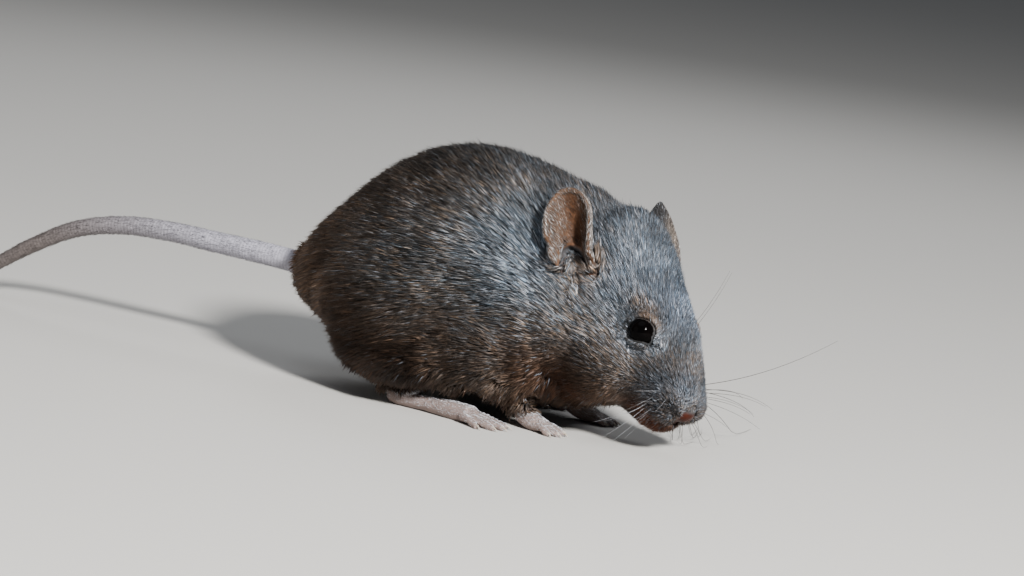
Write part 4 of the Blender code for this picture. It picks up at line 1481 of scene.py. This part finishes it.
def furColours(locks, rng):
    # each furred lock's own warmth and tone over the coat's markings
    look, clump, calm = furTones, locks["clump"], locks["earFoot"]
    count = len(clump)
    warmth = 0.5 + (clump[:, 3] - 0.5) * look["clumpWarmth"] + rng.normal(0, look["warmthSpread"], count)
    warmth = np.clip(warmth, 0, 1)[:, None]
    colours = coatColour(locks["root"])
    blueness = colours[:, 2] / colours[:, 0]
    warmth = mixed(warmth, 1, look["brownWarmth"] * smoothStep(*look["brown"], blueness)[:, None])
    warmth = warmth * (1 - look["blueCooling"] * smoothStep(*look["blue"], blueness))[:, None]
    # the cool end of the hue is painted sky reflection on the hairs, the warm end buff hair
    hue = mixed(np.array(markings["cool"]), np.array(markings["warm"]), warmth)
    paleness = np.clip(colours.mean(1) / look["fullPaleness"], *look["palenessLimits"])
    tone = rng.normal(0, 1, count) * (look["even"] + look["uneven"] * paleness)
    tone = np.exp(tone + (clump[:, 2] - 0.5) * 2 * look["clump"])
    # brighter guard locks and darker under locks: partly painted glints and painted shade between the hairs
    spread = np.where(locks["guard"], look["guard"], look["under"]) * np.minimum(paleness, 1)
    tone = tone * (1 + spread * (1 - look["calming"] * calm))
    colours = colours * tone[:, None] * hue
    # pale locks take the glint colour: partly pale hair tips, partly painted glints on the hairs
    paleShare = look["paleShare"] * paleness * (1 - calm) + furSetup["padPale"] * locks["pad"]
    glint = np.array(markings["glint"]) * np.minimum(1, paleness)[:, None]
    pale = (locks["own"][:, 0] < paleShare)[:, None]
    return np.where(pale, mixed(colours, glint, look["glintShare"]), colours)


def lockColours(locks, rng):
    look, bare = furTones, locks["bare"] > 0.5
    colours = furColours(locks, rng)
    label = np.argmax(np.stack([locks[name] for name in ("ear", "foot", "tail")], 1), 1)
    spread = np.where(label == 0, look["earSpread"], look["bareSpread"])
    tone = np.exp(rng.normal(0, 1, len(label)) * spread)[:, None]
    colours = mixed(colours, np.array(markings["earGrooveHair"]) * tone, locks["bowl"][:, None])
    ear = earTint(locks["root"], locks["upright"], "earHair", "earGrooveHair", "earBackHair")
    tail = tailTint(locks["tailAlong"]) * look["tailHair"]
    foot = np.tile(np.array(markings["footHair"]), (len(label), 1))
    for number, tint in enumerate((ear, foot, tail)):
        chosen = bare & (label == number)
        colours[chosen] = (tint * tone)[chosen]
    return colours


def lockCorners(roots, mids, tips, widths, normals):
    # the sides stand half-way, raised over the line from root to tip
    across = unit(np.cross(tips - roots, normals)) * (widths * 0.5)[:, None]
    over = unit(np.cross(across, tips - roots))
    middle = (roots + tips) / 2
    most = furSetup["bow"] * np.linalg.norm(tips - roots, axis=1)
    bow = np.linalg.norm(mids - middle, axis=1)
    mids = middle + (mids - middle) * np.minimum(1, most / np.maximum(bow, 1e-6))[:, None]
    height = ((mids - middle) * over).sum(1)
    mids = mids + over * np.maximum(0, furSetup["ridge"] * widths - height)[:, None]
    return np.stack((mids + across, mids - across, roots, tips), 1)


def buildLocks(name, roots, mids, tips, widths, normals, colours, uvs):
    count = len(roots)
    verts = lockCorners(roots, mids, tips, widths, normals).reshape(-1, 3)
    corners = (np.arange(count)[:, None] * 4 + np.array(lockShape["faces"])).ravel()
    patches = uvs[:, None, :] + np.array(lockShape["spots"]) * furSetup["patch"]
    placed = np.clip(patches.reshape(-1, 2), 0, 1)
    mesh = bpy.data.meshes.new(name)
    mesh.vertices.add(len(verts))
    mesh.vertices.foreach_set("co", (verts * mm).astype(np.float32).ravel())
    mesh.loops.add(len(corners))
    mesh.loops.foreach_set("vertex_index", corners.astype(np.int32))
    mesh.polygons.add(len(corners) // 3)
    mesh.polygons.foreach_set("loop_start", np.arange(0, len(corners), 3, dtype=np.int32))
    mesh.update(calc_edges=True)
    mesh.polygons.foreach_set("use_smooth", np.ones(len(corners) // 3, bool))
    layer = mesh.uv_layers.new(name="OFBake")
    layer.data.foreach_set("uv", placed[corners].astype(np.float32).ravel())
    setColour(mesh, "coatColour", np.repeat(colours, 4, axis=0))
    setValue(mesh, "along", np.tile(lockShape["along"], count))
    mesh.materials.append(coatFinish)
    mesh.validate()
    obj = addObject(name, mesh)
    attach(obj, "root")


def growFur():
    rng = np.random.default_rng(furSetup["seed"])
    locks = plantLocks(rng)
    print("locks:", len(locks["root"]))
    varyLocks(locks, rng)
    layLocks(locks)
    locks["colour"] = lockColours(locks, rng)
    fromRear = locks["root"][:, 0]
    for name in sorted(set(locks["piece"])):
        chosen = np.nonzero((locks["piece"] == name) & locks["clear"])[0]
        chosen = chosen[np.argsort(fromRear[chosen], kind="stable")]
        pieces = math.ceil(len(chosen) * 4 / furSetup["mostTriangles"])
        for number, members in enumerate(np.array_split(chosen, pieces)):
            whole = name + (str(number + 1) if pieces > 1 else "")
            keys = ("start", "middle", "tip", "width", "upright", "colour", "uv")
            buildLocks(whole, *(locks[key][members] for key in keys))
            print(whole, len(members))


growFur()
print("coat")


# whiskers and claws

whiskerLook = {
    "rows": 5, "columns": {"right": 2, "left": 4}, "points": 13, "under": 0.25,
    "root": (2.0, 2.3, 0.9), "rowStep": (0.12, 0.06, -0.5), "columnStep": (0.7, 0.28, 0.05),
    "right": {
        "forward": (0.35, -0.25), "rise": (0.05, -0.3), "length": (5.0, 3.4), "bend": (0.15, -0.25),
        "radius": (0.016, 0.006),
    },
    "left": {
        "forward": (0.55, -0.12), "rise": (0.62, -0.4), "length": (11.5, 4.0), "bend": (0.1, -0.2),
        "radius": (0.04, 0.014),
    },
    "outerRowsShorter": 0.06, "lengthSpread": (0.7, 1.1), "waySpread": (0.12, 0.14),
    "bendSpread": (0.08, 0.05, 0.12), "thick": (0.75, 0.09), "taper": 0.8,
    "brow": ((8.2, 4.4, 6.6), (8.8, 4.6, 7.2)), "browWay": (0.25, 0.65, 1.0), "browBend": (0.15, 0, 0.1),
    "browLength": 7.5, "browSpread": (0.8, 1.1), "browThick": 0.7,
    "cheek": (6.8, 5.4, -0.8), "cheekWay": (1, 0.25, -0.6), "cheekLength": 6.0, "cheekBend": (0.1, 0.1, 0),
    "lipHairs": 60, "lipBack": (0.3, 4.6), "lipOut": (0.5, 2.6), "lipUp": -2.4,
    "lipTurn": 0.3, "lipFan": 0.35, "lipLength": (0.5, 1.6), "lipRadius": (0.022, 0.006),
    "floorAt": 0.25, "floorBend": 0.4,  # how near the floor a whisker lies, and how gently it turns there
    # pale and dark are lit and shaded copies of one whisker colour: painted light on the near side, painted
    # shade on the far side
    "pale": ((0.1, 0.09, 0.085), (0.38, 0.39, 0.42)), "dark": ((0.01, 0.008, 0.007), (0.03, 0.024, 0.02)),
    "toneScale": 500, "rough": 0.4, "roundness": 1, "middleRow": 2,
}


def strandFrom(across, root, way, length, bend, radii):
    # a tapering, drooping strand from that side's skin, kept over the floor
    look = whiskerLook
    way, bend = onSide(way, across), onSide(bend, across)
    found, normal = skinTree.find_nearest(headPoint(root[0], root[1] * across, root[2]).tolist())[:2]
    share = np.linspace(0, 1, look["points"])
    start = np.array(found) - np.array(normal) * look["under"]
    path = start + np.outer(share, unit(way)) * length + np.outer(share**2, bend) * length
    over = (path[:, 2] - look["floorAt"]) / look["floorBend"]
    path[:, 2] = look["floorAt"] + np.log1p(np.exp(over)) * look["floorBend"]
    return path, radii[1] + (radii[0] - radii[1]) * (1 - share) ** look["taper"]


def whiskersOf(side, rng):
    across, look, own = sides[side], whiskerLook, whiskerLook[side]
    strands = []
    for row in range(look["rows"]):
        for column in range(look["columns"][side]):
            steps = zip(look["root"], look["rowStep"], look["columnStep"])
            root = [first + row * down + column * back for first, down, back in steps]
            forward, rise = vary(own["forward"], column), vary(own["rise"], row)
            turn, lift = look["waySpread"]
            way = (-forward + rng.normal(0, turn), 1, rise + rng.normal(0, lift))
            shorter = look["outerRowsShorter"] * abs(row - look["middleRow"])
            length = vary(own["length"], column) * (1 - shorter)
            length *= rng.uniform(*look["lengthSpread"])
            stray = [rng.normal(0, spread) for spread in look["bendSpread"]]
            bend = (own["bend"][0] + stray[0], stray[1], own["bend"][1] + stray[2])
            radii = [vary(look["thick"], column) * radius for radius in own["radius"]]
            strands.append(strandFrom(across, root, way, length, bend, radii))
    fine = [look["browThick"] * radius for radius in own["radius"]]
    for root in look["brow"]:
        length = look["browLength"] * rng.uniform(*look["browSpread"])
        strands.append(strandFrom(across, root, look["browWay"], length, look["browBend"], fine))
    cheek = (look["cheek"], look["cheekWay"], look["cheekLength"], look["cheekBend"], own["radius"])
    strands.append(strandFrom(across, *cheek))
    for number in range(look["lipHairs"]):
        back, out = rng.uniform(*look["lipBack"]), rng.uniform(*look["lipOut"])
        way = (rng.uniform(-look["lipTurn"], look["lipTurn"]), look["lipFan"] * out, -1)
        length, root = rng.uniform(*look["lipLength"]), (back, out, look["lipUp"])
        strands.append(strandFrom(across, root, way, length, (0, 0, 0), look["lipRadius"]))
    return strands


def makeWhiskers():
    rng = np.random.default_rng(furSetup["seed"] + 1)
    # the near (right) side's whiskers are painted lit and pale, the far (left) side's painted shaded and dark
    for side, tone in (("right", "pale"), ("left", "dark")):
        whiskers = makeTubes("whiskers_" + side, whiskersOf(side, rng), whiskerLook["roundness"])
        material = twoToneMaterial(
            "whisker_" + tone, whiskerLook[tone], whiskerLook["toneScale"], whiskerLook["rough"]
        )
        whiskers.data.materials.append(material)
        smoothShade(whiskers)
        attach(whiskers, "root")


footPlan = {  # in the part's own measures: heel or wrist, turn out, and the toes as across, length and turn
    "forefoot": {
        "place": (-12.6, 6.2), "step": {"right": 0.0, "left": 0.8}, "splay": 6, "toeRoot": 2.6, "claw": 0.75,
        "toes": ((-0.95, 2.0, -16), (-0.34, 2.7, -5), (0.34, 2.7, 6), (0.98, 2.1, 19)),
    },
    "hindfoot": {
        "place": (-28.0, 8.8), "step": {"right": 0.0, "left": -1.5}, "splay": 8, "toeRoot": 10.4, "claw": 0.9,
        "toes": ((-1.45, 2.7, -20), (-0.75, 4.5, -8), (0, 4.8, 0), (0.75, 4.5, 8), (1.5, 3.2, 20)),
    },
}
clawLook = {
    "heights": (0.42, 0.44, 0.3, 0.05), "reach": (-0.3, 0.1, 0.6, 1.0), "radii": (0.15, 0.15, 0.1, 0.025),
    "tones": ((0.3, 0.25, 0.2), (0.42, 0.37, 0.32)), "toneScale": 1800, "rough": 0.35, "roundness": 2,
}


def makeClaws():
    strands = []
    for plan in footPlan.values():
        for side, out in sides.items():
            splay = math.radians(plan["splay"]) * out
            turn = np.array(((math.cos(splay), -math.sin(splay)), (math.sin(splay), math.cos(splay))))
            start = np.array((plan["place"][0] + plan["step"][side], plan["place"][1] * out)) + shift[:2]
            for across, length, turned in plan["toes"]:
                heading = math.radians(turned)
                toe = np.array((math.cos(heading), math.sin(heading) * out))
                root = np.array((plan["toeRoot"], across * out)) + toe * length
                path = [(*(start + turn @ (root + toe * plan["claw"] * part)), height)
                        for part, height in zip(clawLook["reach"], clawLook["heights"])]
                strands.append((np.array(path), clawLook["radii"]))
    claws = makeTubes("claws", strands, clawLook["roundness"])
    material = twoToneMaterial("clawHorn", clawLook["tones"], clawLook["toneScale"], clawLook["rough"])
    claws.data.materials.append(material)
    smoothShade(claws)
    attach(claws, "root")


makeWhiskers()
makeClaws()
print("whiskers and claws")
